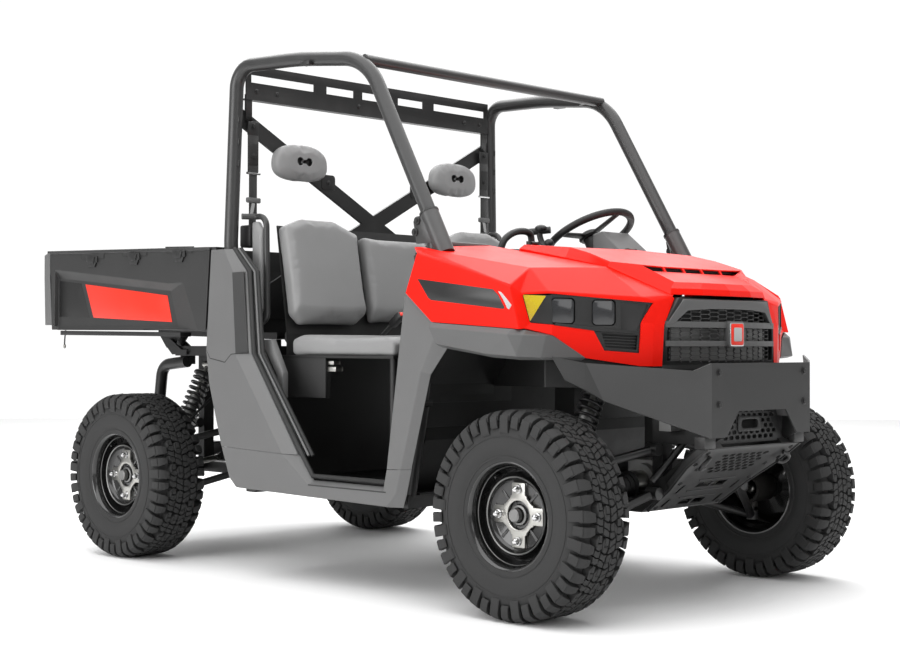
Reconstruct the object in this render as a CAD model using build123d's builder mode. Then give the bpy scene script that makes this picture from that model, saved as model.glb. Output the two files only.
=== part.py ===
from build123d import *
import os

# Side-by-side utility vehicle: one open three-seat cab, a tipping cargo bed, four driven wheels.
# Frame: millimetres, +Z up, the vehicle faces -Y and its left side is +X. The origin is on the
# ground, midway along the length. Front parts are placed from the front axle and rear parts from
# the rear axle, so that the cab stretches between them when the wheelbase changes.

# ---- driving dimensions -------------------------------------------------------------------
WHEELBASE = 2057.0
FRONT_OVERHANG = 409.0
REAR_OVERHANG = 584.0
HALF_TRACK = 646.0
TYRE_RADIUS = 317.0
TYRE_WIDTH = 222.0
CAB_HALF = 722.0
CAGE_TOP = 1862.0
BED_HALF = 700.0

# ---- derived datums -----------------------------------------------------------------------
LENGTH = FRONT_OVERHANG + WHEELBASE + REAR_OVERHANG
FRONT_AXLE_Y = -LENGTH / 2 + FRONT_OVERHANG
REAR_AXLE_Y = FRONT_AXLE_Y + WHEELBASE
AXLE_Z = TYRE_RADIUS
SEAT = 0.3  # running gap between pieces that rest on each other
WALL = 5.0  # moulded panels

# ---- chassis levels and sections ----------------------------------------------------------
FRAME_Z = 300.0
RAIL_H = 40.0
RAIL_IN, RAIL_OUT = 165.0, 215.0
RAIL_TOP = FRAME_Z + RAIL_H
FLOOR_Z = RAIL_TOP + 7.0
PIVOT_D = 160.0  # suspension pivots, before and behind each axle
POST_W = 40.0
DECK_Z = 780.0  # underside of the rear deck rails
DECK_H = 40.0
DECK_IN, DECK_OUT = 296.0, 364.0

os.makedirs("parts", exist_ok=True)


def fy(behind):
    """Y of a point this far behind the front axle."""
    return FRONT_AXLE_Y + behind


def ry(behind):
    """Y of a point this far behind the rear axle."""
    return REAR_AXLE_Y + behind


def block(xs, ys, zs, mode=Mode.ADD):
    """A rectangular block spanning three ranges."""
    middle = ((xs[0] + xs[1]) / 2, (ys[0] + ys[1]) / 2, (zs[0] + zs[1]) / 2)
    with Locations(middle):
        Box(abs(xs[1] - xs[0]), abs(ys[1] - ys[0]), abs(zs[1] - zs[0]), mode=mode)


def outline(plane, points, depth, inset=0.0, mode=Mode.ADD):
    """A flat outline raised from its plane by depth, shrunk inwards by inset first."""
    with BuildSketch(plane) as profile:
        with BuildLine():
            Polyline(*points, close=True)
        make_face()
        if inset:
            offset(amount=-inset, kind=Kind.INTERSECTION)
    extrude(profile.sketch, amount=depth, mode=mode)


def side(points, x_from, x_to, inset=0.0, mode=Mode.ADD):
    """An outline of (y, z) points, raised across the vehicle from x_from to x_to."""
    outline(Plane.YZ.offset(x_from), points, x_to - x_from, inset, mode)


def rod(start, end, radius, mode=Mode.ADD):
    """A round bar between two points."""
    with BuildLine() as axis:
        Line(start, end)
    with BuildSketch(Plane(origin=axis.line @ 0, z_dir=axis.line % 0)) as disc:
        Circle(radius)
    sweep(sections=disc.sketch, path=axis.line, mode=mode)


def tube(points, radius, bends, mode=Mode.ADD):
    """A round bar along a route with one bend radius for each corner."""
    with BuildLine() as route:
        FilletPolyline(*points, radius=bends)
    with BuildSketch(Plane(origin=route.line @ 0, z_dir=route.line % 0)) as disc:
        Circle(radius)
    sweep(sections=disc.sketch, path=route.line, mode=mode)


def shift(points, datum):
    """(distance, z) points turned into (y, z) points from an axle's datum function."""
    return [(datum(point[0]), point[1]) for point in points]


# ---- chassis frame ------------------------------------------------------------------------
PAD_Z = (500.0, 560.0)  # front platform under the radiator
HORN_TOP = 720.0
CAGE_FOOT_Z = 640.0
LEG_FOOT = (655.0, 452.0)  # front cage leg where it meets the frame, (x, behind front axle)
POST_FOOT = (655.0, -656.0)  # rear cage post where it meets the frame, (x, behind rear axle)
CAGE_R = 25.4
FOOT_HALF = CAGE_R + 0.8
STUB_D = 512.0  # where the front stub meets the cross member, behind the front axle
DASH_BAR_Z, DASH_BAR_D, DASH_BAR_R = 865.0, 425.0, 20.0
HINGE_D, HINGE_Z, PIN_R = 193.0, 830.0, 10.0
BED_RAIL = (310.0, 350.0)
RECEIVER_OUT, RECEIVER_IN, RECEIVER_LEN = 63.5, 51.0, 170.0
FRAME_TAIL = 323.0  # behind the rear axle
RECEIVER_Z = RAIL_TOP + RECEIVER_OUT / 2
HITCH_PIN_R = 8.0
BED_PAD_Z = 845.7
HITCH_PIN_D = FRAME_TAIL + 110.0
RACK_D, RACK_Z = 103.5, 369.5
TOWER_Z = 760.0
SILL_RAIL = (590.0, 630.0)

with BuildPart() as frame:
    rail = shift([(-375, 510), (-100, FRAME_Z)], fy)
    rail += shift([(FRAME_TAIL + 40, FRAME_Z), (FRAME_TAIL + 40, RAIL_TOP)], ry)
    rail += shift([(-85, RAIL_TOP), (-345, 540)], fy)
    side(rail, RAIL_IN, RAIL_OUT)
    # front platform, bumper horns and upper front rail up to the dash bar
    block((RAIL_IN, RAIL_OUT), (fy(-345), fy(-140)), (520, PAD_Z[1]))
    block((RAIL_IN, RAIL_OUT), (fy(-345), fy(-305)), (520, HORN_TOP))
    block((0, RAIL_IN), (fy(-245), fy(-185)), (520, PAD_Z[1]))
    for centre, foot in ((-PIVOT_D, 385), (PIVOT_D, RAIL_TOP)):
        low, high = centre - POST_W / 2, centre + POST_W / 2
        block((RAIL_IN, RAIL_OUT), (fy(low), fy(high)), (foot, TOWER_Z))
        block((RAIL_IN, RAIL_OUT), (ry(low), ry(high)), (RAIL_TOP, DECK_Z))
    upper = [(-180, 720), (180, 720), (DASH_BAR_D - 8, 845), (DASH_BAR_D - 8, 880)]
    upper += [(160, TOWER_Z), (-180, TOWER_Z)]
    side(shift(upper, fy), RAIL_IN, RAIL_OUT)
    block((RAIL_IN, 330), (fy(-30), fy(30)), (TOWER_Z, TOWER_Z + 12))
    block((RAIL_IN, RAIL_OUT), (fy(-30), fy(30)), (TOWER_Z - 12, TOWER_Z + 12))
    rod((0, fy(DASH_BAR_D), DASH_BAR_Z), (653.4 - CAGE_R, fy(DASH_BAR_D), DASH_BAR_Z), DASH_BAR_R)
    # cross members and sill rails
    block((0, RAIL_IN), (fy(PIVOT_D - 20), fy(PIVOT_D + 20)), (FRAME_Z, RACK_Z + 16))
    for low, high in ((-60, -20), (20, 60)):
        block((0, RAIL_IN), (fy(low), fy(high)), (FRAME_Z, 309))
        block((0, RAIL_IN), (ry(low), ry(high)), (FRAME_Z, 309))
    block((0, 680), (fy(486), fy(570)), (FRAME_Z, RAIL_TOP))
    block((645, 680), (fy(550), fy(570)), (RAIL_TOP - 5, 343.4))
    block((0, 680), (ry(-790), ry(-737)), (FRAME_Z, RAIL_TOP))
    mid_floor = (fy(486) + ry(-737)) / 2
    block((0, 600), (mid_floor - 20, mid_floor + 20), (FRAME_Z, RAIL_TOP))
    block(SILL_RAIL, (fy(486), ry(-737)), (FRAME_Z, RAIL_TOP))
    for low, high in ((-657, -617), (-297, -257)):
        block((0, RAIL_IN), (ry(low), ry(high)), (FRAME_Z, RAIL_TOP))
    # stubs that carry the cage
    for foot, y, start in ((LEG_FOOT, fy(LEG_FOOT[1]), fy(STUB_D)), (POST_FOOT, ry(POST_FOOT[1]), ry(-757))):
        rod((foot[0], start, 330), (foot[0], y, CAGE_FOOT_Z - 9), CAGE_R)
        plate_x = (foot[0] - FOOT_HALF, foot[0] + FOOT_HALF)
        block(plate_x, (y - FOOT_HALF, y + FOOT_HALF), (CAGE_FOOT_Z - 10, CAGE_FOOT_Z))
    # rear deck under the bed, with the tilt ears and pin
    block((BED_RAIL[0] - 5, BED_RAIL[1] + 5), (ry(-517), ry(150)), (DECK_Z, DECK_Z + DECK_H))
    for low, high in ((-480, -440), (PIVOT_D - 20, PIVOT_D + 20)):
        block((0, DECK_IN + 8), (ry(low), ry(high)), (DECK_Z, DECK_Z + DECK_H))
    block((DECK_IN, BED_RAIL[0]), (ry(-480), ry(-440)), (DECK_Z, DECK_Z + DECK_H))
    block((BED_RAIL[0] + 8, BED_RAIL[1] - 8), (ry(-490), ry(-460)), (DECK_Z + DECK_H - 5, BED_PAD_Z))
    block((RAIL_IN, RAIL_OUT), (ry(-480), ry(-440)), (RAIL_TOP, DECK_Z))
    for x_low, x_high in ((DECK_IN, DECK_IN + 8), (DECK_OUT - 8, DECK_OUT)):
        ear = [(60, DECK_Z + 5), (160, DECK_Z + 5), (HINGE_D + 22, HINGE_Z)]
        ear += [(HINGE_D + 12, HINGE_Z + 20), (HINGE_D - 18, HINGE_Z + 20)]
        side(shift(ear, ry), x_low, x_high)
    for x_low, x_high in ((DECK_IN, BED_RAIL[0] - 5), (BED_RAIL[1] + 5, DECK_OUT)):
        block((x_low, x_high), (ry(60), ry(160)), (DECK_Z + 5, DECK_Z + 25))
    rod((DECK_IN, ry(HINGE_D), HINGE_Z), (DECK_OUT, ry(HINGE_D), HINGE_Z), PIN_R)
    block((DECK_IN, BED_RAIL[0]), (ry(-30), ry(30)), (TOWER_Z, DECK_Z + 10))
    # rear hoop tube down to the tail cross member
    hoop = [(330, ry(100), 756), (330, ry(273), 740), (330, ry(293), 600), (330, ry(FRAME_TAIL + 20), 322)]
    tube(hoop, 24, [60, 40])
    block((290, 330), (ry(100), ry(150)), (745, DECK_Z))
    block((0, 356), (ry(FRAME_TAIL), ry(FRAME_TAIL + 40)), (FRAME_Z, RAIL_TOP))
    # hitch receiver
    span = (ry(FRAME_TAIL), ry(FRAME_TAIL + RECEIVER_LEN))
    bore = (RECEIVER_Z - RECEIVER_IN / 2, RECEIVER_Z + RECEIVER_IN / 2)
    block((0, RECEIVER_OUT / 2), span, (RAIL_TOP, RAIL_TOP + RECEIVER_OUT))
    block((0, RECEIVER_IN / 2), span, bore, mode=Mode.SUBTRACT)
    pin_y = ry(HITCH_PIN_D)
    rod((0, pin_y, RECEIVER_Z), (RECEIVER_OUT, pin_y, RECEIVER_Z), HITCH_PIN_R, mode=Mode.SUBTRACT)
    mirror(about=Plane.YZ)
frame.part.label = "frame"
export_step(frame.part, "parts/frame.step")

# ---- skid plate ---------------------------------------------------------------------------
with BuildPart() as skid_plate:
    slope = shift([(-375, 510), (-100, 300), (-103, 296), (-378, 506)], fy)
    side(slope, -265, 265)
    for x_sign in (-1, 1):
        trim = [(265, -300), (265, -90), (200, -90), (215, -200)]
        outline(Plane.XY.offset(280), [(x_sign * x, fy(d)) for x, d in trim], 240, mode=Mode.SUBTRACT)
    for low, high in ((-340, -322), (-300, -282), (-260, -242), (-170, -150)):
        block((-110, 110), (fy(low), fy(high)), (280, 520), mode=Mode.SUBTRACT)
    block((-RAIL_OUT, RAIL_OUT), (fy(-103), ry(FRAME_TAIL + 40)), (FRAME_Z - 4, FRAME_Z - SEAT))
skid_plate.part.label = "skid_plate"
export_step(skid_plate.part, "parts/skid_plate.step")

# ---- bumper -------------------------------------------------------------------------------
BUMPER_T = 6.0
BUMPER_FACE = -FRONT_OVERHANG
BUMPER_BOLTS = ((239.0, 646.0), (239.0, 744.0))
with BuildPart() as bumper:
    front = [(0, BUMPER_FACE), (277, BUMPER_FACE), (621, 118 - TYRE_RADIUS), (704, 195 - TYRE_RADIUS)]
    back = [(700.5, 200 - TYRE_RADIUS), (617, 123.5 - TYRE_RADIUS)]
    back += [(275, BUMPER_FACE + BUMPER_T), (0, BUMPER_FACE + BUMPER_T)]
    outline(Plane.XY.offset(540), [(x, fy(d)) for x, d in front + back], 260)
    face = [(0, 772), (277, 772), (325, 750), (621, 774), (704, 796), (704, 750), (570, 662)]
    face += [(277, 545), (198, 547), (133, 624), (0, 624)]
    outline(Plane.XZ.offset(-fy(-100)), face, 400, mode=Mode.INTERSECT)
    block((170, 210), (fy(BUMPER_FACE + BUMPER_T), fy(-345)), (600, 680))
    mirror(about=Plane.YZ)
    for x, z in BUMPER_BOLTS:
        for x_sign in (-1, 1):
            hole = [(x_sign * x, fy(BUMPER_FACE + along), z) for along in (-10, 20)]
            rod(hole[0], hole[1], 5.5, mode=Mode.SUBTRACT)
bumper.part.label = "bumper"
export_step(bumper.part, "parts/bumper.step")

# ---- radiator -----------------------------------------------------------------------------
with BuildPart() as radiator:
    block((-260, 260), (fy(-245), fy(-200)), (PAD_Z[1] + SEAT, 880))
    with BuildSketch(Plane.XZ.offset(-fy(-165))):
        with Locations((0, 720)):
            Circle(150)
    extrude(amount=40)
radiator.part.label = "radiator"
export_step(radiator.part, "parts/radiator.step")

# ---- front body: fenders with the lamp brow, hood, fascia, grille -------------------------
SEAM = [(345, 310), (350, -57), (338, -187), (302, -290)]  # hood edge, (x, behind front axle)
SEAM_GAP = 3.0
FENDER_X = 740.0
COWL_D = 316.0


def fender_block(inset):
    """The left front corner of the body as a solid, each wall moved inwards by inset."""
    plan = [(740, 440), (740, -57), (505, -250), (402, -318), (302, -318)]
    plan += [(x + SEAM_GAP, d) for x, d in reversed(SEAM)] + [(SEAM[0][0] + SEAM_GAP, 440)]
    with BuildPart() as core:
        outline(Plane.XY.offset(764), [(x, fy(d)) for x, d in plan], 450 - inset, inset)
        top = Plane(origin=(740, fy(-57), 1056 - inset), x_dir=(0, 1, 0.17), z_dir=(0.05, -0.17, 1))
        split(bisect_by=top, keep=Keep.BOTTOM)
        brow = Plane(origin=(350, fy(-57), 1074 - inset), x_dir=(1, 0, 0), z_dir=(-0.05, -0.43, 1))
        split(bisect_by=brow, keep=Keep.BOTTOM)
    return core.part


def lamp_block(plan, plan_inset, face_inset):
    """What fills a lamp opening in the corner face: a plan outline cut to the lamp's own outline."""
    with BuildPart() as block_out:
        outline(Plane.XY.offset(790), [(x, fy(d)) for x, d in plan], 200, plan_inset)
        outline(Plane.XZ.offset(-fy(-30)), LAMP_FACE, 400, face_inset, mode=Mode.INTERSECT)
    return block_out.part


LAMP_FACE = [(780, 980), (780, 901), (724, 893), (578, 871), (548, 811), (467, 805), (456, 872), (433, 957)]
with BuildPart() as fender:
    add(fender_block(0))
    add(fender_block(WALL), mode=Mode.SUBTRACT)
    # open below and behind, and cut to the line where the arch flare meets it
    block((340, FENDER_X - WALL), (fy(-45), fy(500)), (700, 1038), mode=Mode.SUBTRACT)
    below = shift([(500, 700), (500, 1000), (436, 991), (319, 898), (-60, 872), (-60, 700)], fy)
    side(below, 300, 800, mode=Mode.SUBTRACT)
    wing = [(800, 788), (594, 788), (568, 786), (433, 765), (433, 700), (800, 700)]
    outline(Plane.XZ.offset(-fy(-50)), wing, 300, mode=Mode.SUBTRACT)
    # lamp opening in the corner face
    pocket = [(FENDER_X + 20, -60), (FENDER_X + 20, -400), (410, -400), (410, -200), (560, -150), (700, -40)]
    add(lamp_block(pocket, 0, 0), mode=Mode.SUBTRACT)
    # notch round the cage leg
    block((LEG_FOOT[0] - 34, LEG_FOOT[0] + 32), (fy(345), fy(445)), (1030, 1200), mode=Mode.SUBTRACT)
    # behind the grille edge the corner is open
    block((290, 392.4), (fy(-340), fy(-200)), (700, 961), mode=Mode.SUBTRACT)
fenders = fender.part + mirror(fender.part, about=Plane.YZ)
fenders.label = "front_fenders"
export_step(fenders, "parts/front_fenders.step")

# ---- hood ---------------------------------------------------------------------------------
HOOD_HINGE = (315.0, 1166.0)  # (behind front axle, z)


def hood_block(inset, depth):
    """The left half of the hood as a solid, its faces moved inwards by inset, open below by depth."""
    plan = [(0, 310 - inset), (342 - inset, 310 - inset), (347 - inset, -57), (335 - inset, -187)]
    plan += [(299 - inset, -290 + inset), (0, -315 + inset)]
    with BuildPart() as core:
        outline(Plane.XY.offset(880), [(x, fy(d)) for x, d in plan], 320)
        skin = ((400, 1170), (310, 1163), (-60, 1133), (-130, 1060), (-400, 972))
        profile = [(d, z - inset) for d, z in skin]
        profile += [(d, z - depth) for d, z in ((-400, 932), (-187, 1004), (-57, 1052), (400, 1137))]
        side(shift(profile, fy), -10, 400, mode=Mode.INTERSECT)
        flank = Plane(origin=(350, fy(-57), 1072 - inset * 1.2), x_dir=(1, 0, -0.56), z_dir=(0.56, -0.188, 1))
        split(bisect_by=flank, keep=Keep.BOTTOM)
        edge = (350, fy(-57), 1072 - inset * 1.3)
        nose = Plane(origin=edge, x_dir=(1, 0, -0.654), z_dir=(0.654, -0.555, 1))
        split(bisect_by=nose, keep=Keep.BOTTOM)
    return core.part


with BuildPart() as hood:
    add(hood_block(0, 0))
    add(hood_block(WALL, 60), mode=Mode.SUBTRACT)
    rod((250, fy(HOOD_HINGE[0]), HOOD_HINGE[1]), (280, fy(HOOD_HINGE[0]), HOOD_HINGE[1]), 6)
    block((250, 280), (fy(285), fy(HOOD_HINGE[0])), (1158, 1163))
    bore = [(x, fy(HOOD_HINGE[0]), HOOD_HINGE[1]) for x in (240, 290)]
    rod(bore[0], bore[1], 3.05, mode=Mode.SUBTRACT)
    # five vent slots across the foot of the raised centre
    for x_low, x_high in ((0, 45), (56, 150), (161, 250)):
        block((x_low, x_high), (fy(-136), fy(-96)), (1062, 1076), mode=Mode.SUBTRACT)
    mirror(about=Plane.YZ)
hood.part.label = "hood"
export_step(hood.part, "parts/hood.step")

# ---- grille -------------------------------------------------------------------------------
SLATS = 6
with BuildPart() as grille:
    frame_line = [(-337, 960), (337, 960), (392, 872), (392, 782), (-392, 782), (-392, 872)]
    outline(Plane.XZ.offset(-fy(-300)), frame_line, 22)
    for row in range(SLATS):
        z_low = 800 + 25 * row
        half = 372 if z_low < 860 else 372 - (z_low - 860) * 0.62
        for x_low, x_high in ((-half, -40), (40, half)):
            block((x_low, x_high), (fy(-330), fy(-290)), (z_low, z_low + 14), mode=Mode.SUBTRACT)
    # bare badge boss
    block((-33, 33), (fy(-330), fy(-300)), (828, 894))
grille.part.label = "grille"
export_step(grille.part, "parts/grille.step")

# ---- headlights ---------------------------------------------------------------------------
LAMP_PLAN = [(736.5, -60), (505, -250), (421, -305.5), (421, -250), (500, -190), (655, -60)]
headlight = lamp_block(LAMP_PLAN, 2, 0.4)
headlights = headlight + mirror(headlight, about=Plane.YZ)
headlights.label = "headlights"
export_step(headlights, "parts/headlights.step")


# ---- cab side panels: flares, front pillars, rockers, rear quarters -----------------------
def tray(points, x_in, x_out, cuts):
    """A moulded panel: a skin with a return flange round its edge, opened where cuts say."""
    with BuildPart() as panel:
        side(points, x_in, x_out)
        side(points, x_in, x_out - WALL, inset=WALL, mode=Mode.SUBTRACT)
        for ys, zs in cuts:
            block((x_in, x_out - WALL - 1), ys, zs, mode=Mode.SUBTRACT)
    return panel.part


FLARE = shift([(319, 897.5), (-59.5, 871.5), (-59.5, 789), (31, 791), (284, 816.5)], fy)
SILL_D = STUB_D + CAGE_R + 5.6  # rear edge of the front post's panel
PILLAR = shift([(436, 990.4), (461, 979), (SILL_D, 425.5), (446, 429), (284.6, 817), (319.6, 897.3)], fy)
ROCKER = shift([(446, 428.5), (SILL_D, 425), (SILL_D, 349)], fy)
ROCKER += shift([(-1124, 344), (-996, 446), (-647, 460), (-694, 348), (-735, 315)], ry)
ROCKER += shift([(482, 302)], fy)
QUARTER = [(-996, 446.5), (-647, 460.5), (-574, 683), (-555, 803), (-583, 1170), (-654, 1170)]
QUARTER = shift(QUARTER + [(-730, 1093), (-801, 800)], ry)
PANELS = (
    # node, outline, inner x, flanges opened over ((y range), (z range))
    ("pillar_panels", PILLAR, 662, [((fy(300), fy(475)), (860, 1000)), ((fy(430), fy(560)), (420, 445))]),
    ("rockers", ROCKER, 640, [((fy(400), ry(-600)), (290, 342)), ((fy(430), fy(560)), (415, 435)),
                              ((ry(-900), ry(-600)), (435, 470))]),
    ("quarter_panels", QUARTER, 662, [((ry(-600), ry(-540)), (815, 1180)),
                                      ((ry(-760), ry(-540)), (1080, 1180)),
                                      ((ry(-1050), ry(-600)), (440, 475))]),
)
for node, points, x_in, cuts in PANELS:
    left = tray(points, x_in, CAB_HALF, cuts)
    both = left + mirror(left, about=Plane.YZ)
    both.label = node
    export_step(both, f"parts/{node}.step")

FLARE_X = (667.0, 757.0)
with BuildPart() as wrap:  # the flare's tip, lying on the corner face below the lamp
    plan = [(741, -55), (FLARE_X[1], -55), (FLARE_X[1], -66), (594, -181), (594, -177.8), (741, -57.1)]
    outline(Plane.XY.offset(780), [(x, fy(d)) for x, d in plan], 100)
    face = [(760, 871.5), (740, 871.5), (672, 858), (594, 790), (692, 786), (760, 789)]
    outline(Plane.XZ.offset(-fy(-30)), face, 200, mode=Mode.INTERSECT)
flare = tray(FLARE, FLARE_X[0], FLARE_X[1], []) + wrap.part
arch_flares = flare + mirror(flare, about=Plane.YZ)
arch_flares.label = "arch_flares"
export_step(arch_flares, "parts/arch_flares.step")

# ---- floor and firewall -------------------------------------------------------------------
CAB_IN = LEG_FOOT[0] - CAGE_R - 1.6
with BuildPart() as floor_pan:
    line = shift([(486, RAIL_TOP + SEAT)], fy) + shift([(-770, RAIL_TOP + SEAT), (-770, FLOOR_Z)], ry)
    wall = [(560, FLOOR_Z), (466, 520), (466, 885), (460, 885), (460, 518), (552, FLOOR_Z), (486, FLOOR_Z)]
    line += shift(wall, fy)
    side(line, -CAB_IN, CAB_IN)
floor_pan.part.label = "floor_pan"
export_step(floor_pan.part, "parts/floor_pan.step")

# ---- dashboard ----------------------------------------------------------------------------
DASH_HALF = 600.0
WHEEL_X, WHEEL_D, WHEEL_Z = 390.0, 612.0, 1236.0
COLUMN = (0, 0.5, 0.866)  # from the dash towards the driver
STEER_R, STEER_GRIP = 170.0, 14.0


def on_column(along):
    """A point on the steering column axis, this far above the wheel's centre."""
    return (WHEEL_X, fy(WHEEL_D) + along * COLUMN[1], WHEEL_Z + along * COLUMN[2])


with BuildPart() as dashboard:
    face = [(440.3, 1150), (480, 1153), (545, 1118), (520, 1000), (475, 885.3), (405, 885.3), (405, 1030)]
    face += [(440.3, 1035)]
    side(shift(face, fy), -DASH_HALF, DASH_HALF)
    side(shift([(COWL_D, 1143), (445, 1150), (445, 1115), (COWL_D, 1115)], fy), -343, 343)
    side(shift([(446, 1140), (446, 1205), (520, 1246), (538, 1238), (538, 1110)], fy), 320, 460)
    rod(on_column(-200), on_column(-62), 24)
    rod(on_column(-100), on_column(-50), 8.05, mode=Mode.SUBTRACT)
    for x_low in (238, 282):
        for x_sign in (-1, 1):
            block((x_sign * x_low, x_sign * (x_low + 10)), (fy(311.5), fy(325)), (1130, 1172))
    for x_sign in (-1, 1):
        pin = [(x_sign * x, fy(HOOD_HINGE[0]), HOOD_HINGE[1]) for x in (240, 290)]
        rod(pin[0], pin[1], 3)
    tube([(-430, fy(460), 1140), (-410, fy(460), 1212), (-210, fy(460), 1212), (-190, fy(460), 1140)], 12, 25)
    rod((170, fy(520), 1110), (170, fy(585), 1235), 8)
    with Locations((170, fy(590), 1240)):
        Sphere(22)
dashboard.part.label = "dashboard"
export_step(dashboard.part, "parts/dashboard.step")

# ---- steering wheel -----------------------------------------------------------------------
with BuildPart() as steering_wheel:
    hub_plane = Plane(origin=on_column(0), x_dir=(1, 0, 0), z_dir=COLUMN)
    grip_plane = Plane(origin=on_column(0), x_dir=(1, 0, 0), z_dir=(0, -COLUMN[2], COLUMN[1]))
    with BuildSketch(grip_plane) as grip:
        with Locations((STEER_R, 0)):
            Circle(STEER_GRIP)
    revolve(grip.sketch, axis=Axis(on_column(0), COLUMN))
    rod(on_column(-55), on_column(0), 30)
    rod(on_column(-85), on_column(-50), 8)
    with BuildSketch(hub_plane.offset(-6)) as spokes:
        for turn in (0, 180, 270):
            with Locations(Rotation(0, 0, turn)):
                with Locations((STEER_R / 2, 0)):
                    Rectangle(STEER_R, 24)
    extrude(spokes.sketch, amount=9)
steering_wheel.part.label = "steering_wheel"
export_step(steering_wheel.part, "parts/steering_wheel.step")

# ---- seats --------------------------------------------------------------------------------
SEAT_HALF = 595.0
CUSHION_FRONT = -1417.0
SEAT_TOP_Z = 789.0
CUSHION_TOP = 858.0
BACK_FRONT = [(-901.6, 896), (-829, 1300)]
BACK_REAR = [(-767, 1292), (-827.4, 896)]
BACK_HALF = 577.0
with BuildPart() as seat_base:
    block((-590, 590), (ry(CUSHION_FRONT + 12), ry(-789)), (SEAT_TOP_Z - 9, SEAT_TOP_Z - SEAT))
    block((-590, 590), (ry(-795), ry(-789)), (FLOOR_Z + SEAT, SEAT_TOP_Z - 5))
    support = [(-831.6, SEAT_TOP_Z - 5), (-831.6, 866), (-771.8, 1258), (-765.8, 1258), (-825.6, 866)]
    support += [(-825.6, SEAT_TOP_Z - 5)]
    side(shift(support, ry), -570, 570)
    for x in (-560, -200, 200, 560):
        rod((x, ry(-1377), FLOOR_Z + SEAT), (x, ry(-1377), SEAT_TOP_Z - 5), 14)
seat_base.part.label = "seat_base"
export_step(seat_base.part, "parts/seat_base.step")

with BuildPart() as seat_cushion:
    pad = [(CUSHION_FRONT, SEAT_TOP_Z), (-867, SEAT_TOP_Z), (-867, CUSHION_TOP), (-1100, CUSHION_TOP - 8)]
    pad += [(CUSHION_FRONT + 19, CUSHION_TOP), (CUSHION_FRONT, CUSHION_TOP - 15)]
    side(shift(pad, ry), -SEAT_HALF, SEAT_HALF)
seat_cushion.part.label = "seat_cushion"
export_step(seat_cushion.part, "parts/seat_cushion.step")

BACKS = ((-BACK_HALF, -216.0), (-207.0, 207.0), (216.0, BACK_HALF))  # x from, x to
BACK_TOPS = [(207, 1247), (216, 1259), (330, 1301), (500, 1301), (BACK_HALF, 1266), (700, 1266), (700, 1400)]
with BuildPart() as seat_backs:
    for x_from, x_to in BACKS:
        side(shift(BACK_FRONT + BACK_REAR, ry), x_from, x_to)
    above = BACK_TOPS + [(-x, z) for x, z in reversed(BACK_TOPS)]
    outline(Plane.XZ.offset(-ry(-600)), above, 400, mode=Mode.SUBTRACT)
seat_backs.part.label = "seat_backs"
export_step(seat_backs.part, "parts/seat_backs.step")

REST_X, REST_Z = (276.0, 540.0), (1428.0, 1578.0)
REST_BACK = -669.0  # behind the rear axle, against the brace's straps
with BuildPart() as headrests:
    for x_sign in (-1, 1):
        with BuildSketch(Plane.XZ.offset(-ry(REST_BACK))):
            with Locations((x_sign * (REST_X[0] + REST_X[1]) / 2, (REST_Z[0] + REST_Z[1]) / 2)):
                RectangleRounded(REST_X[1] - REST_X[0], REST_Z[1] - REST_Z[0], 60)
    extrude(amount=66)
headrests.part.label = "headrests"
export_step(headrests.part, "parts/headrests.step")

BOLSTER_X, BOLSTER_R = 622.0, 11.0
BOLSTER = ((-774.0, 1290.0), (-782.0, 905.0))  # front corners of the loop, (behind rear axle, z)
with BuildPart() as bolster_pads:
    for x_sign in (-1, 1):
        front = BOLSTER[0][0] + BOLSTER_R - 0.5
        top, bottom = BOLSTER[0][1] - BOLSTER_R - 6, BOLSTER[1][1] + BOLSTER_R + 6
        line = [(front, top - 34), (front + 28, top), (-700, top), (-700, bottom), (front + 28, bottom)]
        line += [(front, bottom + 34)]
        side(shift(line, ry), x_sign * BOLSTER_X - 10, x_sign * BOLSTER_X + 10)
bolster_pads.part.label = "bolster_pads"
export_step(bolster_pads.part, "parts/bolster_pads.step")

# ---- roll cage ----------------------------------------------------------------------------
CAGE_Z = CAGE_TOP - CAGE_R
HEADER_R = 19.0
POST_X, POST_Z = CAB_HALF - WALL - 1.6 - CAGE_R, 1194.0  # rear post's bend, inside the quarter panel
with BuildPart() as roll_cage:
    hoop = [(LEG_FOOT[0], fy(LEG_FOOT[1] + 1), CAGE_FOOT_Z + 7), (653, fy(384), 1185)]
    hoop += [(635, fy(734), CAGE_Z - 48)]
    hoop += [(652, (fy(1066) + ry(-991)) / 2, CAGE_Z - 11), (670, ry(-664), CAGE_Z), (POST_X, ry(-656), POST_Z)]
    hoop += [(POST_FOOT[0], ry(POST_FOOT[1]), CAGE_FOOT_Z + 7)]
    tube(hoop, CAGE_R, [250, 220, 1500, 80, 300])
    for foot, y in ((LEG_FOOT, fy(LEG_FOOT[1])), (POST_FOOT, ry(POST_FOOT[1]))):
        plate_x = (foot[0] - FOOT_HALF, foot[0] + FOOT_HALF)
        block(plate_x, (y - FOOT_HALF, y + FOOT_HALF), (CAGE_FOOT_Z, CAGE_FOOT_Z + 10))
    rod((0, fy(752), CAGE_Z - 50), (632, fy(752), CAGE_Z - 50), HEADER_R)
    gusset = [(545, fy(752)), (638, fy(752)), (638, fy(880))]
    outline(Plane.XY.offset(CAGE_Z - 54), gusset, 5)
    bend = [(668, ry(-690), BOLSTER[0][1]), (BOLSTER_X, ry(-715), BOLSTER[0][1])]
    bend += [(BOLSTER_X, ry(d), z) for d, z in BOLSTER]
    bend += [(BOLSTER_X, ry(-715), BOLSTER[1][1]), (660, ry(-680), BOLSTER[1][1])]
    tube(bend, BOLSTER_R, [20, 40, 40, 20])
    mirror(about=Plane.YZ)
roll_cage.part.label = "roll_cage"
export_step(roll_cage.part, "parts/roll_cage.step")

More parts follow.
